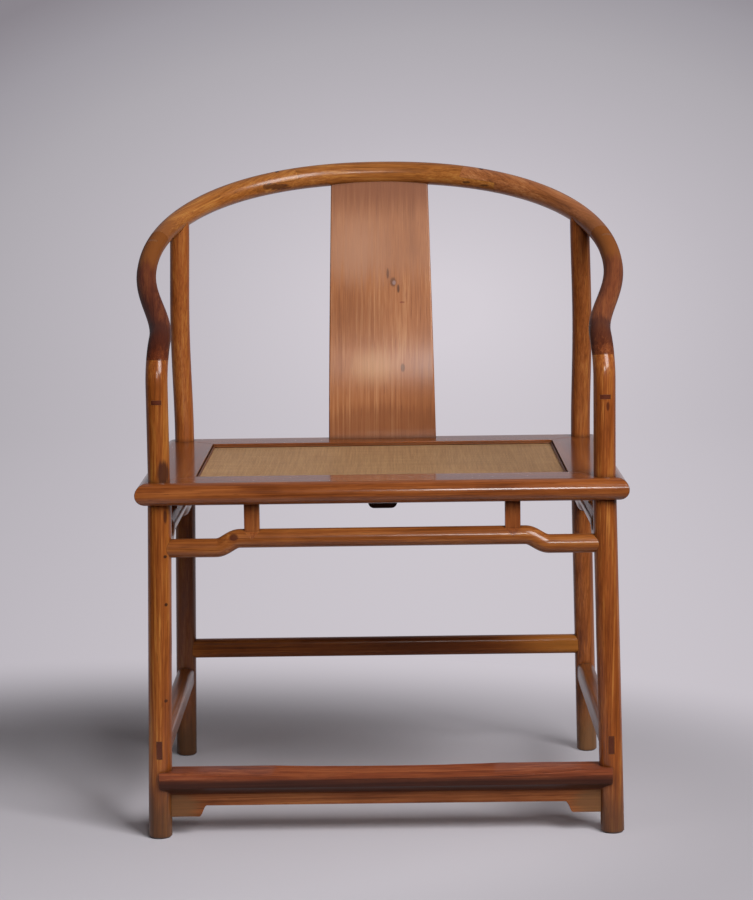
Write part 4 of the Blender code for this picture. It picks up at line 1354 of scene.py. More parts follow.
@dataclass
class SeatFrame:
    """Four mitred rails with a half-round outer edge, the bowed bearer, the cane mat and its strips."""

    chair: Chair
    rail_width: float = 0.081
    rail_arris: float = 0.0007
    nose_flat: float = 0.0002
    ledge_width: float = 0.012
    ledge_drop: float = 0.009
    mat_thickness: float = 0.0025
    mat_sag: float = 0.004
    mat_cells: tuple[int, int] = (64, 44)
    sag_rings: int = 18
    sag_reach: float = 0.85
    strip_width: float = 0.003
    strip_height: float = 0.003
    strip_rounding: float = 0.0018
    strip_arris: float = 0.0003
    bearer_width: float = 0.044
    bearer_height: float = 0.022
    bearer_bow: float = 0.0445
    bearer_rounding: float = 0.009
    bearer_steps: int = 36

    @property
    def opening(self) -> tuple[float, float]:
        """Half the width and half the depth of the mat's opening."""
        layout = self.chair.layout
        return layout.seat_width / 2 - self.rail_width, layout.seat_depth / 2 - self.rail_width

    def rail(self, name: str, length: float, turn: float, place: Sequence[float]) -> Piece:
        """Plane a seat rail to its section and mitre its ends.

        Args:
            name: The piece's name.
            length: Its outer length.
            turn: Its turn about the vertical, in degrees.
            place: The middle of its outer edge.

        Returns:
            The rail.
        """
        layout = self.chair.layout
        width = self.rail_width + self.ledge_width
        piece = block(name, (-length / 2, 0, layout.seat_under), (length / 2, width, layout.seat_top))
        round_over = (layout.seat_thickness - self.nose_flat) / 2
        with on_bench(piece):
            pick_edges(piece, lambda a, b: max(a.y, b.y) < 1e-6 and abs(a.x - b.x) > length / 2)
            bpy.ops.mesh.bevel(offset=round_over, segments=10, profile=0.5)
        ledge = layout.seat_top - self.ledge_drop
        corner = (length, width + REACH, layout.seat_top + REACH)
        carve(piece, block("rabbet", (-length, self.rail_width, ledge), corner))
        for sign in (-1, 1):
            saw_off(piece, (sign * (length / 2 - GAP), 0, 0), (sign, 1, 0))
        soften(piece, self.rail_arris)
        piece.matrix_world = Matrix.Translation(place) @ Matrix.Rotation(math.radians(turn), 4, "Z")
        fix_place(piece)
        return piece

    def build(self) -> None:
        """Make the rails with their post holes, the bearer, the mat and the strips."""
        layout, raw = self.chair.layout, self.chair.raw
        half_x, half_y = layout.seat_width / 2, layout.seat_depth / 2
        rails = {
            "front": self.rail("seat_frame_front", layout.seat_width, 0, (0, -half_y, 0)),
            "rear": self.rail("seat_frame_rear", layout.seat_width, 180, (0, half_y, 0)),
            "left": self.rail("seat_frame_left", layout.seat_depth, -90, (-half_x, 0, 0)),
            "right": self.rail("seat_frame_right", layout.seat_depth, 90, (half_x, 0, 0)),
        }
        for side in Side:
            for end in End:
                for rail in (rails[tag(side)], rails[tag(end)]):
                    spot = Vector((side.value * layout.leg_x, end.value * layout.leg_y, layout.seat_under - REACH))
                    ends = [spot, spot + UP * (layout.seat_thickness + 2 * REACH)]
                    carve(rail, round_bar("post_hole", ends, [layout.post_radius(end) + GAP] * 2))
        for word, rail in rails.items():
            raw[f"seat_rail_{word}"] = rail
        raw["seat_brace"] = self.bearer()
        raw["seat_mat"] = self.mat()
        self.strips()

    def bearer(self) -> Piece:
        """Saw the bowed bearer that crosses under the mat and round its edges.

        Returns:
            The bearer.
        """
        layout = self.chair.layout
        half = self.opening[1] - self.ledge_width - GAP
        end_z = layout.seat_under + (layout.seat_thickness - self.ledge_drop) / 2 - GAP
        steps = [-half + 2 * half * step / self.bearer_steps for step in range(self.bearer_steps + 1)]
        dips = [end_z - self.bearer_bow * math.cos(math.pi / 2 * y / half) ** 2 for y in steps]
        lower = [(y, z - self.bearer_height / 2) for y, z in zip(steps, dips)]
        upper = [(y, z + self.bearer_height / 2) for y, z in zip(steps, dips)]
        piece = board("bowed_bearer", lower + upper[::-1], self.bearer_width, SIDEWAYS)
        soften(piece, self.bearer_rounding, 6, 60.0)
        return piece

    def mat(self) -> Piece:
        """Stretch the mat over its ledge, sagging a little from use.

        Returns:
            The mat.
        """
        layout = self.chair.layout
        x, y = (half - GAP for half in self.opening)
        base = layout.seat_top - self.ledge_drop + GAP
        wide, deep = self.mat_cells
        cells = {"x_subdivisions": wide, "y_subdivisions": deep}
        piece = begin("cane_mat", bpy.ops.mesh.primitive_grid_add, size=2.0, location=(0, 0, base), **cells)
        piece.scale = (x, y, 1.0)
        fix_place(piece)
        with on_bench(piece):
            for ring in range(self.sag_rings):
                share = ring / self.sag_rings
                inset = self.ledge_width + self.sag_reach * y * share
                pick_points(piece, lambda p: abs(p.x) < x - inset and abs(p.y) < y - inset)
                fall = self.mat_sag * (2 / self.sag_rings) * (1 - share)
                bpy.ops.transform.translate(value=(0, 0, -fall))
        apply_modifier(piece, "SOLIDIFY", thickness=self.mat_thickness, offset=1.0)
        return piece

    def strips(self) -> None:
        """Plane the four strips that press the mat's edge down, rounded on the inside."""
        x, y = (half - GAP for half in self.opening)
        base = self.chair.layout.seat_top - self.ledge_drop + self.mat_thickness + 2 * GAP
        top = base + self.strip_height
        inner_x, inner_y = x - self.strip_width, y - self.strip_width
        boxes = {
            "front": ((-x, -y, base), (x, -inner_y, top)),
            "rear": ((-x, inner_y, base), (x, y, top)),
            "left": ((-x, -inner_y + GAP, base), (-inner_x, inner_y - GAP, top)),
            "right": ((inner_x, -inner_y + GAP, base), (x, inner_y - GAP, top)),
        }
        for word, (low, high) in boxes.items():
            piece = block(f"mat_strip_{word}", low, high)
            with on_bench(piece):
                pick_edges(
                    piece,
                    lambda a, b: min(a.z, b.z) > top - 1e-6
                    and all(abs(p.x) < inner_x + 1e-5 or abs(p.y) < inner_y + 1e-5 for p in (a, b)),
                )
                bpy.ops.mesh.bevel(offset=self.strip_rounding, segments=4, profile=0.5)
            soften(piece, self.strip_arris)
            self.chair.raw[f"batten_{word}"] = piece

    def dress(self) -> None:
        """Finish the rails and strips red-brown, the bearer near black as painted shade and the mat in cane."""
        raw = self.chair.raw
        for index, word in enumerate(("front", "rear", "left", "right")):
            across = word in ("front", "rear")
            wood = Hardwood(
                f"waxed_hardwood_seat_{word}",
                heart="#7f421b",
                light="#a05c2c",
                dark="#532710",
                grain=(1, 0, 0.01) if across else (0.01, 1, 0),
                seed=index * 1.3,
                shine=0.05,
                polish=0.9,
                polish_roughness=0.13,
            )
            settle(raw[f"seat_rail_{word}"], wood, f"seat_rail_{word}")
            strip = Hardwood(
                f"waxed_hardwood_strip_{word}",
                heart="#6a3a1c",
                light="#85502a",
                dark="#432312",
                polish=0.1,
                grain=(1, 0, 0.01) if across else (0.01, 1, 0),
                seed=index * 0.6,
            )
            settle(raw[f"batten_{word}"], strip, f"batten_{word}")
        # Painted shade: the bearer is coloured near black because it sits in the shade under the seat
        bearer = Hardwood(
            "dark_hardwood_bearer",
            heart="#2a160f",
            light="#381f15",
            dark="#1a0d08",
            grain=(0, 1, 0),
            roughness=0.8,
            shine=0.0,
            polish=0.0,
            rubbed=0.0,
        )
        settle(raw["seat_brace"], bearer, "seat_brace")
        mat = settle(raw["seat_mat"], WovenCane(), "seat_mat")


@dataclass
class BackSplat:
    """The curved back board between the rear seat rail and the crest rail."""

    chair: Chair
    top_width: float = 0.157
    bottom_width: float = 0.172
    thickness: float = 0.0105
    setback: float = 0.028
    tongue: float = 0.009
    bottom_slope: float = -0.10
    top_slope: float = 0.40
    edge_round: float = 0.0022
    slope_step: float = 0.001
    cuts: int = 47

    def sweep(self, height: float) -> float:
        """Sweep the board: upright above the seat, then back to the crest rail.

        Args:
            height: Height above the floor.

        Returns:
            The Y of the board's middle there.
        """
        layout, line = self.chair.layout, self.chair.line
        rise = line.back_z - layout.seat_top
        share = (height - layout.seat_top) / rise
        start = (2 * share**3 - 3 * share**2 + 1) * (layout.seat_depth / 2 - self.setback)
        leave = (share**3 - 2 * share**2 + share) * rise * self.bottom_slope
        stop = (3 * share**2 - 2 * share**3) * line.back_y
        arrive = (share**3 - share**2) * rise * self.top_slope
        return start + leave + stop + arrive

    def build(self) -> None:
        """Plane a board, taper it upwards, sweep it back and let it into the rails."""
        layout, line, raw = self.chair.layout, self.chair.line, self.chair.raw
        bottom = layout.seat_top - self.tongue
        top = line.back_z - line.back_radius + self.tongue
        half = self.bottom_width / 2
        piece = block("splat_board", (-half, -self.thickness / 2, bottom), (half, self.thickness / 2, top))
        step = self.slope_step
        taper = (self.top_width / self.bottom_width - 1) / (line.back_z - layout.seat_top)
        with on_bench(piece):
            pick_edges(piece, lambda a, b: abs(a.z - b.z) > 0.1)
            bpy.ops.mesh.subdivide(number_cuts=self.cuts)
            bpy.ops.mesh.select_mode(type="VERT")
            for ring in range(self.cuts + 2):
                z = bottom + (top - bottom) * ring / (self.cuts + 1)
                slope = (self.sweep(z + step) - self.sweep(z - step)) / (2 * step)
                pick_points(piece, lambda p: abs(p.z - z) < 1e-4)
                size = (1 + taper * (z - layout.seat_top), math.hypot(1, slope), 1)
                bpy.ops.transform.resize(value=size, center_override=(0, 0, z))
                bpy.ops.transform.translate(value=(0, self.sweep(z), 0))
        soften(piece, self.edge_round, 3)
        for rail in ("crest_rail_center", "seat_rail_rear"):
            carve(raw[rail], grown(piece))
        raw["back_splat"] = piece

    def dress(self) -> None:
        """Finish the board with a quiet upright grain, a few dark knot marks, and painted sheen and shade."""
        knots_sheen_and_shade = (
            # Painted sheen: a pale patch high on the left
            Mark((-0.0400, 0.220, 0.8250), (0.0800, 0.14, 0.0850), "#c2957a", 0.50, 0.9, 0.0),
            # Painted shade: a darker band across the middle on the left
            Mark((-0.0500, 0.190, 0.7150), (0.0900, 0.14, 0.0700), "#87502d", 0.55, 0.9, 0.0),
            # Painted sheen: a pale yellow patch below the middle
            Mark((-0.0150, 0.185, 0.6340), (0.0500, 0.14, 0.0400), "#c89868", 0.45, 1.2, 0.0),
            Mark((0.0118, 0.205, 0.7805), (0.0030, 0.06, 0.0115), "#3d2018", 0.85, 0.5),
            Mark((0.0205, 0.205, 0.7668), (0.0064, 0.06, 0.0105), "#4a2a20", 0.75, 1.4),
            Mark((0.0218, 0.205, 0.7655), (0.0040, 0.06, 0.0048), "#a08580", 0.65, 0.8),
            Mark((0.0285, 0.205, 0.7560), (0.0026, 0.06, 0.0090), "#44261a", 0.80, 0.5),
            Mark((0.0345, 0.205, 0.7345), (0.0056, 0.06, 0.0018), "#74301d", 0.65, 0.4),
            Mark((0.0343, 0.185, 0.6314), (0.0042, 0.06, 0.0085), "#4a2918", 0.60, 0.8),
            # Painted shade: darker towards the foot
            Mark((0.0100, 0.185, 0.5300), (0.1500, 0.08, 0.0550), "#74432a", 0.45, 0.9),
            # Painted sheen: a pale veil over the upper part
            Mark((0.0200, 0.250, 0.8700), (0.3000, 0.20, 0.1200), "#ab7c62", 0.45, 0.7),
            # Painted shade, partly grime: a darker band under the crest rail
            Mark((0.0000, 0.300, 0.9200), (0.3000, 0.30, 0.0650), "#774630", 0.65, 0.5, 0.1),
        )
        wood = Hardwood(
            "waxed_hardwood_splat",
            heart="#a2653d",
            light="#bf8a60",
            dark="#7a482b",
            grain=(0.012, 0, 1),
            figure=1.1,
            drawn=1.4,
            face=(0, -1, 0),
            flat=14.0,
            roughness=0.40,
            polish=0.75,
            polish_roughness=0.25,
            rubbed=0.7,
            marks=knots_sheen_and_shade,
        )
        settle(self.chair.raw["back_splat"], wood, "back_splat")


@dataclass
class Humpbacks:
    """Humpback stretchers under the seat on all four sides, with their short struts."""

    chair: Chair
    diameter: float = 0.027
    drop: float = 0.0515
    rear_drop: float = 0.0435
    rise: float = 0.0132
    end_length: float = 0.064
    ramp_length: float = 0.034
    strut_width: float = 0.022
    strut_thickness: float = 0.016
    strut_x: float = 0.186
    strut_lap: float = 0.004
    strut_arris: float = 0.0012
    flat_steps: int = 10
    ramp_steps: int = 14

    def low(self, end: End) -> float:
        """The height of the axis of a bar's low ends."""
        drop = self.drop if end is End.FRONT else self.rear_drop
        return self.chair.layout.seat_under - drop - self.rise

    def bar(self, name: str, along: Vector, middle: Vector, reach: float) -> Piece:
        """Shape a humpback bar, raised between two ramps.

        Args:
            name: The piece's name.
            along: Its direction.
            middle: The middle of the line between its low ends.
            reach: Half its length, to the legs' axes.

        Returns:
            The bar.
        """
        ramp = reach - self.end_length - self.ramp_length - self.chair.layout.front_leg / 2
        half = [(ramp * step / self.flat_steps, self.rise) for step in range(self.flat_steps)]
        for step in range(self.ramp_steps + 1):
            share = step / self.ramp_steps
            half.append((ramp + self.ramp_length * share, self.rise * ease(1 - share)))
        half += [(reach - self.end_length / 2, 0.0), (reach, 0.0)]
        line = [(-distance, z) for distance, z in half[:0:-1]] + half
        points = [middle + along * distance + UP * z for distance, z in line]
        return round_bar(name, points, [self.diameter / 2] * len(points), 36)

    def strut(self, name: str, spot: Vector, across: Vector, bar: Piece) -> Piece:
        """Saw a strut, let its pointed foot into its bar and round the foot to the bar's face.

        Args:
            name: The piece's name.
            spot: The point under it on the bar's axis.
            across: The bar's direction.
            bar: The humpback bar.

        Returns:
            The strut.
        """
        half, lap = self.strut_width / 2, self.strut_lap
        shoulder = spot.z + math.sqrt((self.diameter / 2) ** 2 - (self.strut_thickness / 2) ** 2)
        top = self.chair.layout.seat_under - GAP
        lie = facing(across, UP, (spot.x, spot.y, 0))
        body = [(-half, top), (half, top), (half, shoulder), (-half, shoulder)]
        piece = board(name, body, self.strut_thickness, lie)
        soften(piece, self.strut_arris)
        tip = [(half, shoulder), (0, shoulder - half), (-half, shoulder)]
        point = [(-half, shoulder + lap), (half, shoulder + lap), *tip]
        foot = board("strut_foot", point, 2 * REACH, lie)
        carve(foot, twin(bar), "INTERSECT")
        carve(bar, grown(foot))
        carve(piece, foot, "UNION")
        return piece

    def build(self) -> None:
        """Make the four bars, coped round the legs, and their struts."""
        layout, raw = self.chair.layout, self.chair.raw
        for end in End:
            axis = layout.leg_axis(Side.RIGHT, end, self.low(end))
            bar = self.bar(f"humpback_{tag(end)}", EAST, Vector((0, axis.y, axis.z)), axis.x)
            raw[f"{tag(end)}_hump_stretcher"] = bar
            for side in Side:
                carve(bar, layout.leg_bar(side, end, GAP))
                spot = Vector((side.value * self.strut_x, axis.y, axis.z + self.rise))
                node = f"{tag(end)}_strut_{tag(side)}"
                raw[node] = self.strut(f"strut_{tag(end)}_{tag(side)}", spot, EAST, bar)
        for side in Side:
            front, rear = (layout.leg_axis(side, end, self.low(End.FRONT)) for end in End)
            middle = (front + rear) / 2
            bar = self.bar(f"humpback_{tag(side)}", NORTH, middle, (rear.y - front.y) / 2)
            for end in End:
                carve(bar, layout.leg_bar(side, end, GAP))
            raw[f"side_hump_stretcher_{tag(side)}"] = bar
            spot = middle + UP * self.rise
            raw[f"side_strut_{tag(side)}"] = self.strut(f"strut_side_{tag(side)}", spot, NORTH, bar)

    def dress(self) -> None:
        """Finish the bars and struts in golden wood."""
        knot = Mark((-0.2120, -0.2960, 0.4390), (0.0078, 0.02, 0.0062), "#4a2317", 0.85, 0.9)
        for index, (node, piece) in enumerate(sorted(self.chair.raw.items())):
            if "hump" not in node and "strut" not in node:
                continue
            upright = "strut" in node
            sideways = node.startswith("side_hump")
            wood = Hardwood(
                f"waxed_hardwood_{piece.name}",
                heart="#834520" if upright else "#874a20",
                light="#9e6131" if upright else "#ab6d35",
                dark="#562b12" if upright else "#592d10",
                grain=(0.02, 0.01, 1) if upright else (0.01, 1, 0) if sideways else (1, 0.01, 0),
                seed=index * 0.9,
                marks=(knot,) if node == "front_hump_stretcher" else (),
            )
            settle(piece, wood, node)


@dataclass
class LowStretchers:
    """The side stretchers, tenoned through the front legs, and the rear stretcher."""

    chair: Chair
    side_height: float = 0.131
    side_size: tuple[float, float] = (0.027, 0.033)
    rear_height: float = 0.1775
    rear_size: tuple[float, float] = (0.024, 0.030)
    rounding: float = 0.009
    tenon: tuple[float, float] = (0.008, 0.026)
    tenon_inset: float = 0.0004

    def build(self) -> None:
        """Shape the three bars, cope them round the legs and mortise the front legs."""
        layout, raw = self.chair.layout, self.chair.raw
        wide, tall = (size / 2 for size in self.side_size)
        for side in Side:
            front, rear = (layout.leg_axis(side, end, self.side_height) for end in End)
            low = (front.x - wide, front.y, self.side_height - tall)
            bar = block(f"low_stretcher_{tag(side)}", low, (rear.x + wide, rear.y, self.side_height + tall))
            soften(bar, self.rounding, 5)
            for end in End:
                carve(bar, layout.leg_bar(side, end, GAP))
            reach = Vector((self.tenon[0] / 2, 0, self.tenon[1] / 2))
            tip = front - NORTH * (layout.leg_radius(End.FRONT) - self.tenon_inset)
            root = front + NORTH * (layout.leg_radius(End.FRONT) + OVERRUN)
            spare = Vector((GAP, REACH, GAP))
            carve(raw[f"front_post_{tag(side)}"], block("mortise", tip - reach - spare, root + reach + spare))
            carve(bar, block("through_tenon", tip - reach, root + reach), "UNION")
            raw[f"side_stretcher_{tag(side)}"] = bar
        axis = layout.leg_axis(Side.RIGHT, End.REAR, self.rear_height)
        wide, tall = (size / 2 for size in self.rear_size)
        low = (-axis.x, axis.y - wide, self.rear_height - tall)
        bar = block("low_stretcher_rear", low, (axis.x, axis.y + wide, self.rear_height + tall))
        soften(bar, self.rounding, 5)
        for side in Side:
            carve(bar, layout.leg_bar(side, End.REAR, GAP))
        raw["rear_stretcher"] = bar

    def dress(self) -> None:
        """Finish the bars red-brown, with dark end grain on the through tenons, and painted light and shade on the rear
        bar.
        """
        raw = self.chair.raw
        layout = self.chair.layout
        for side in Side:
            front = layout.leg_axis(side, End.FRONT, self.side_height)
            face = front.y - layout.leg_radius(End.FRONT) + SEAT_MIDDLE_Y
            wood = Hardwood(
                f"waxed_hardwood_stretcher_{tag(side)}",
                heart="#74401f",
                light="#935b33",
                dark="#4b2713",
                grain=(0, 1, 0.01),
                seed=side.value * 1.4,
                polish=0.45,
                marks=(Mark((front.x, face, self.side_height), (0.02, 0.012, 0.04), "#4a2218", 0.80, 0.3),),
            )
            settle(raw[f"side_stretcher_{tag(side)}"], wood, f"side_stretcher_{tag(side)}")
        middle = layout.leg_axis(Side.RIGHT, End.REAR, self.rear_height) + NORTH * SEAT_MIDDLE_Y
        rear = Hardwood(
            "waxed_hardwood_stretcher_rear",
            heart="#7d431a",
            light="#9b5d28",
            dark="#4b240e",
            grain=(1, 0, 0.01),
            seed=3.3,
            polish=0.25,
            marks=(
                # Painted shade: the rear stretcher darkened in the middle, under the seat
                Mark((0.03, middle.y, middle.z), (0.30, 0.10, 0.10), "#491f0b", 0.80, 0.8, 0.0),
                # Painted light: its right end lightened, where light from the right reaches it
                Mark((0.31, middle.y, middle.z), (0.14, 0.10, 0.10), "#a86a2c", 0.55, 0.6, 0.0),
            ),
        )
        settle(raw["rear_stretcher"], rear, "rear_stretcher")


@dataclass
class FootBoard:
    """The footrest between the front legs, worn hollow in the middle, and its stepped apron."""

    chair: Chair
    top: float = 0.0985
    depth: float = 0.042
    proud: float = 0.006
    face: float = 0.0225
    thickness: float = 0.034
    undercut: float = 0.014
    wear: float = 0.0112
    back_wear: float = 0.0020
    wear_power: float = 2.5
    wear_steps: int = 30
    edge_round: float = 0.0020
    corner_notch: float = 0.004
    apron_thickness: float = 0.012
    apron_middle: float = 0.0463
    apron_end: float = 0.0300
    apron_end_length: float = 0.039
    apron_ramp: float = 0.011
    apron_arris: float = 0.0010
    ramp_steps: int = 12

    def build(self) -> None:
        """Make the footrest and its apron."""
        layout = self.chair.layout
        front = layout.leg_axis(Side.RIGHT, End.FRONT, self.top).y - layout.leg_radius(End.FRONT) - self.proud
        bottom = self.top - self.thickness
        axis = layout.leg_axis(Side.RIGHT, End.FRONT, bottom)
        self.chair.raw["footrest"] = self.rest(front, bottom, axis)
        self.chair.raw["footrest_apron"] = self.apron(bottom, axis)

    def rest(self, front: float, bottom: float, axis: Vector) -> Piece:
        """Shape the footrest, wrap it round the legs and wear its front edge down.

        Args:
            front: The Y of its front face.
            bottom: The height of its underside.
            axis: The right front leg's axis at that height.

        Returns:
            The footrest.
        """
        layout = self.chair.layout
        face = self.top - self.face
        back = front + self.depth
        outline = [(front, self.top), (front, face), (front + self.undercut, bottom), (back, bottom), (back, self.top)]
        piece = board("foot_board", outline, 2 * axis.x, SIDEWAYS)
        carve(piece, self.wear_tool(front, axis.x - layout.leg_radius(End.FRONT)))
        soften(piece, self.edge_round, 3, 25.0)
        for side in Side:
            edge = side.value * axis.x
            inner = edge - side.value * self.undercut
            beyond = edge + side.value * REACH
            low = bottom - REACH
            end_cut = [(edge, face), (inner, bottom), (inner, low), (beyond, low), (beyond, face)]
            carve(piece, board("end_cut", end_cut, 2 * self.depth + REACH, facing(EAST, UP, (0, front, 0))))
            xs = sorted((edge - side.value * self.corner_notch, beyond))
            corner = block("corner_cut", (xs[0], axis.y, low), (xs[1], back + REACH, self.top + REACH))
            carve(piece, corner)
            carve(piece, layout.leg_bar(side, End.FRONT, GAP))
        return piece

    def wear_tool(self, front: float, reach: float) -> Piece:
        """Shape what feet have worn off: a long hollow, deepest at the front edge.

        Args:
            front: The Y of the footrest's front face.
            reach: How far it goes to each side.

        Returns:
            The tool.
        """
        slope = Vector((0, self.depth, self.wear - self.back_wear)).normalized()
        shares = [step / self.wear_steps - 1 for step in range(2 * self.wear_steps + 1)]
        hollow = [(share * reach, -self.wear * (1 - abs(share) ** self.wear_power)) for share in shares]
        outline = [(-reach, REACH), *hollow, (reach, REACH)]
        return board("wear", outline, 4 * self.depth, facing(EAST, EAST.cross(slope), (0, front, self.top)))

    def apron(self, rest_bottom: float, axis: Vector) -> Piece:
        """Saw the apron, stepped down at both ends, and cope it round the legs.

        Args:
            rest_bottom: The height of the footrest's underside.
            axis: The right front leg's axis.

        Returns:
            The apron.
        """
        layout = self.chair.layout
        flat = axis.x - layout.leg_radius(End.FRONT) - self.apron_end_length
        ramp = flat - self.apron_ramp
        right = []
        for step in range(self.ramp_steps + 1):
            share = step / self.ramp_steps
            fall = (self.apron_end - self.apron_middle) * ease(share)
            right.append((ramp + (flat - ramp) * share, self.apron_middle + fall))
        right += [(axis.x, self.apron_end), (axis.x, rest_bottom - GAP)]
        left = [(-x, z) for x, z in right[::-1]]
        piece = board("foot_board_apron", right + left, self.apron_thickness, facing(EAST, UP, (0, axis.y, 0)))
        soften(piece, self.apron_arris, 2, 50.0)
        for side in Side:
            carve(piece, layout.leg_bar(side, End.FRONT, GAP))
        return piece

    def dress(self) -> None:
        """Finish the footrest dark red-brown with a rubbed edge and painted shade on its face, and the apron paler and
        duller.
        """
        raw = self.chair.raw
        rest = Hardwood(
            "waxed_hardwood_footrest",
            heart="#834125",
            light="#a8623a",
            dark="#4c2312",
            grain=(1, 0, 0.01),
            seed=5.1,
            rubbed=0.9,
            polish=0.35,
            # Painted shade, partly grime: the front face and the undercut below it darkened to near black
            marks=(Mark((0.0, SEAT_MIDDLE_Y - 0.2610, 0.0680), (3.0, 0.0240, 0.0260), "#2a130b", 0.92, 0.2),),
        )
        settle(raw["footrest"], rest, "footrest")
        worn = [
            Mark((side.value * 0.315, SEAT_MIDDLE_Y - 0.24, 0.045), (0.055, 0.05, 0.03), "#67492f", 0.75, 0.5)
            for side in Side
        ]
        apron = Hardwood(
            "waxed_hardwood_apron",
            heart="#7d4626",
            light="#986238",
            dark="#532c17",
            grain=(1, 0, 0.01),
            seed=6.4,
            roughness=0.48,
            polish=0.10,
            marks=tuple(worn),
        )
        settle(raw["footrest_apron"], apron, "footrest_apron")


@dataclass(frozen=True)
class StudioPaper:
    """Matt pale grey background paper, which gives the eye a soft even ground with no texture of its own.

    Near the chair it takes light and shadow. Further off, the camera and mirrors behind the chair
    see it glow as painted light, graded from pale in the middle to darker grey outwards.
    """

    name: str = "grey_background_paper"
    floor: str = "#d3ced5"
    shade: str = "#2b292d"
    lit_middle: Point = (-0.42, -0.15, 0)
    lit_reach: Point = (1.3, 1, 1000)
    lit_edge: tuple[float, float] = (0.46, 1.12)
    painted_glow_middle: Point = (0.20, 6.5, 0.30)
    painted_glow_reach: Point = (3.33, 60.0, 1.96)
    painted_glow_colours: tuple[tuple[float, str], ...] = (
        (0.05, "#d5cfd6"), (0.35, "#bdb8bf"), (0.55, "#aeaab0"), (0.68, "#9f9ba2"), (0.80, "#8a858c"),
    )

    def make(self) -> bpy.types.Material:
        """Make the material.

        Returns:
            The material with its node tree.
        """
        skin, tree, shader, place = new_skin(self.name, {"Roughness": 0.95, "Specular IOR Level": 0.1})
        apart = add_node(tree, "ShaderNodeSeparateXYZ", links={0: place})
        patch = add_node(
            tree,
            "ShaderNodeMapping",
            {"vector_type": "TEXTURE"},
            {"Location": self.lit_middle, "Scale": self.lit_reach},
            {"Vector": place},
        )
        out = add_node(tree, "ShaderNodeVectorMath", {"operation": "LENGTH"}, links={0: patch.outputs["Vector"]})
        far = add_node(
            tree,
            "ShaderNodeMapRange",
            {"interpolation_type": "SMOOTHSTEP"},
            {"From Min": self.lit_edge[0], "From Max": self.lit_edge[1]},
            {"Value": out.outputs["Value"]},
        ).outputs["Result"]
        lit = add_node(
            tree, "ShaderNodeMix", {"data_type": "RGBA"}, {6: linear(self.floor), 7: linear(self.shade)}, {0: far}
        )
        tree.links.new(lit.outputs[2], shader.inputs["Base Color"])
        near = add_node(
            tree,
            "ShaderNodeMapping",
            {"vector_type": "TEXTURE"},
            {"Location": self.painted_glow_middle, "Scale": self.painted_glow_reach},
            {"Vector": place},
        )
        away = add_node(tree, "ShaderNodeVectorMath", {"operation": "LENGTH"}, links={0: near.outputs["Vector"]})
        tone = add_node(tree, "ShaderNodeValToRGB", links={"Fac": away.outputs["Value"]})
        stops = tone.color_ramp.elements
        stops.remove(stops[0])
        for index, (position, code) in enumerate(self.painted_glow_colours):
            stop = stops.new(position) if index else stops[0]
            stop.position, stop.color = position, linear(code)
        # Painted light: the far paper glows in a graded colour for the camera and for mirrors behind the chair
        painted_glow = add_node(tree, "ShaderNodeEmission", values={"Strength": 1.0}, links={"Color": tone.outputs["Color"]})
        ray = add_node(tree, "ShaderNodeLightPath")
        behind = add_node(tree, "ShaderNodeMath", {"operation": "GREATER_THAN"}, {1: 0.0}, {0: apart.outputs["Y"]})
        mirrored = add_node(
            tree,
            "ShaderNodeMath",
            {"operation": "MULTIPLY"},
            links={0: ray.outputs["Is Glossy Ray"], 1: behind.outputs[0]},
        )
        seen = add_node(
            tree,
            "ShaderNodeMath",
            {"operation": "MAXIMUM"},
            links={0: ray.outputs["Is Camera Ray"], 1: mirrored.outputs[0]},
        )
        share = add_node(tree, "ShaderNodeMath", {"operation": "MULTIPLY"}, links={0: seen.outputs[0], 1: far})
        mixed = add_node(
            tree, "ShaderNodeMixShader", links={0: share.outputs[0], 1: shader.outputs[0], 2: painted_glow.outputs[0]}
        )
        tree.links.new(mixed.outputs[0], tree.nodes["Material Output"].inputs["Surface"])
        return skin


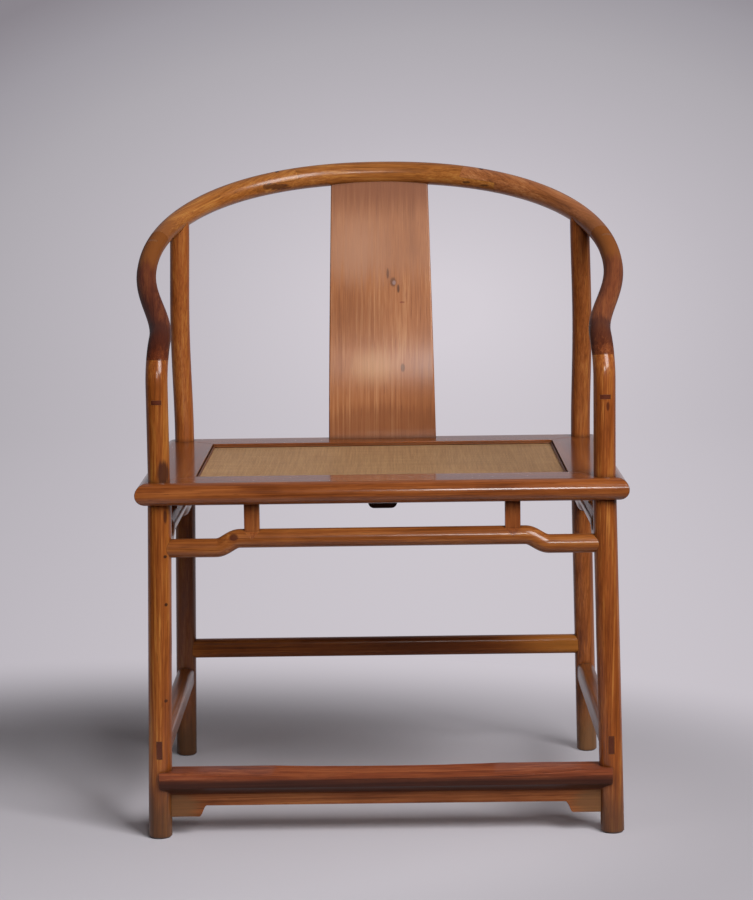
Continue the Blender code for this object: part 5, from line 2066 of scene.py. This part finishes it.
@dataclass
class Studio:
    """The round background paper, the soft lamps and the camera at the photograph's place."""

    paper_sides: int = 96
    paper_radius: float = 7.5
    paper_height: float = 6.0
    cove: float = 3.0
    lens: float = 101.54
    camera_place: Point = (0.0171, -3.8645, 1.0267)
    yaw: float = 0.3825
    pitch: float = 7.4236
    roll: float = 0.7984

    def lay_paper(self) -> None:
        """Lay a round floor and sweep it up into a wall all round."""
        disc = {"vertices": self.paper_sides, "radius": self.paper_radius, "fill_type": "NGON"}
        paper = begin("background_paper", bpy.ops.mesh.primitive_circle_add, **disc)
        with on_bench(paper):
            pick_edges(paper, lambda a, b: True)
            bpy.ops.mesh.extrude_region_move(TRANSFORM_OT_translate={"value": (0, 0, self.paper_height)})
            pick_edges(paper, lambda a, b: max(a.z, b.z) < 1e-4)
            bpy.ops.mesh.bevel(offset=self.cove, segments=20, profile=0.5)
        take(paper)
        bpy.ops.object.shade_smooth()
        paper.data.materials.append(StudioPaper().make())

    def hang_lamp(
        self,
        name: str,
        place: Point,
        aim: Point,
        size: tuple[float, float],
        power: float,
        mirrored: bool = True,
        flagged: bool = False,
    ) -> None:
        """Hang a soft lamp.

        Args:
            name: The lamp's name.
            place: Where it hangs.
            aim: Where it points.
            size: Its width and its height.
            power: Its power in watts.
            mirrored: Whether polished wood shows it.
            flagged: Whether a flag keeps it off the paper.
        """
        lamp = begin(name, bpy.ops.object.light_add, type="AREA", location=place)
        lamp.data.shape = "RECTANGLE"
        lamp.data.size, lamp.data.size_y = size
        lamp.data.energy = power
        lamp.visible_camera = False
        lamp.visible_glossy = mirrored
        lamp.rotation_euler = (Vector(aim) - Vector(place)).to_track_quat("-Z", "Y").to_euler()
        if flagged:
            flag = bpy.data.collections.new(f"{name}_flag")
            flag.objects.link(bpy.data.objects["background_paper"])
            flag.collection_objects[0].light_linking.link_state = "EXCLUDE"
            lamp.light_linking.receiver_collection = flag

    def light(self) -> None:
        """Hang the lamps: the main one right, one by the camera, weak ones left, behind and overhead."""
        self.hang_lamp("main_lamp", (1.65, -2.45, 2.5), (0, 0, 0.5), (1.7, 1.7), 127)
        self.hang_lamp("front_lamp", (0.40, -4.0, 1.9), (0, 0, 0.6), (0.55, 0.75), 28)
        self.hang_lamp("fill_lamp", (-2.8, -2.2, 1.9), (0, 0, 0.5), (1.8, 1.8), 11, mirrored=False)
        self.hang_lamp("over_lamp", (0.2, -0.6, 3.8), (0, 0.2, 0), (2.4, 2.4), 9, mirrored=False)
        self.hang_lamp("back_lamp", (-0.3, 3.4, 1.0), (0, 0, 0.6), (1.6, 1.4), 60, mirrored=False, flagged=True)
        world = bpy.data.worlds.new("room_light")
        world.use_nodes = True
        sky = world.node_tree.nodes["Background"]
        sky.inputs["Color"].default_value = linear("#d8d4dc")
        sky.inputs["Strength"].default_value = 0.04
        bpy.context.scene.world = world

    def set_camera(self) -> None:
        """Stand the camera where the photograph was taken from."""
        yaw, pitch, roll = (math.radians(angle) for angle in (self.yaw, self.pitch, self.roll))
        ahead = Vector((-math.sin(yaw) * math.cos(pitch), math.cos(yaw) * math.cos(pitch), -math.sin(pitch)))
        right = Vector((math.cos(yaw), math.sin(yaw), 0))
        down = -right.cross(ahead)
        side = math.cos(roll) * right + math.sin(roll) * down
        rise = math.sin(roll) * right - math.cos(roll) * down
        bpy.ops.object.camera_add(location=self.camera_place)
        camera = bpy.context.object
        turn = Matrix((side, rise, -ahead)).transposed()
        camera.matrix_world = Matrix.Translation(self.camera_place) @ turn.to_4x4()
        camera.data.sensor_fit = "AUTO"
        camera.data.sensor_width = 36.0
        camera.data.lens = self.lens
        bpy.context.scene.camera = camera
        bpy.context.scene.view_settings.view_transform = "Standard"


def main() -> None:
    """Build the chair in the order a joiner would, dress it and set up the studio."""
    logging.basicConfig(level=logging.INFO, format="%(message)s")
    layout = Layout()
    chair = Chair(layout, CrestLine(layout))
    assemblies = [
        LegPosts(chair),
        CrestRail(chair),
        SeatFrame(chair),
        BackSplat(chair),
        Humpbacks(chair),
        LowStretchers(chair),
        FootBoard(chair),
    ]
    for assembly in assemblies:
        assembly.build()
    for assembly in assemblies:
        assembly.dress()
    studio = Studio()
    studio.lay_paper()
    studio.light()
    studio.set_camera()


if __name__ == "__main__":
    main()
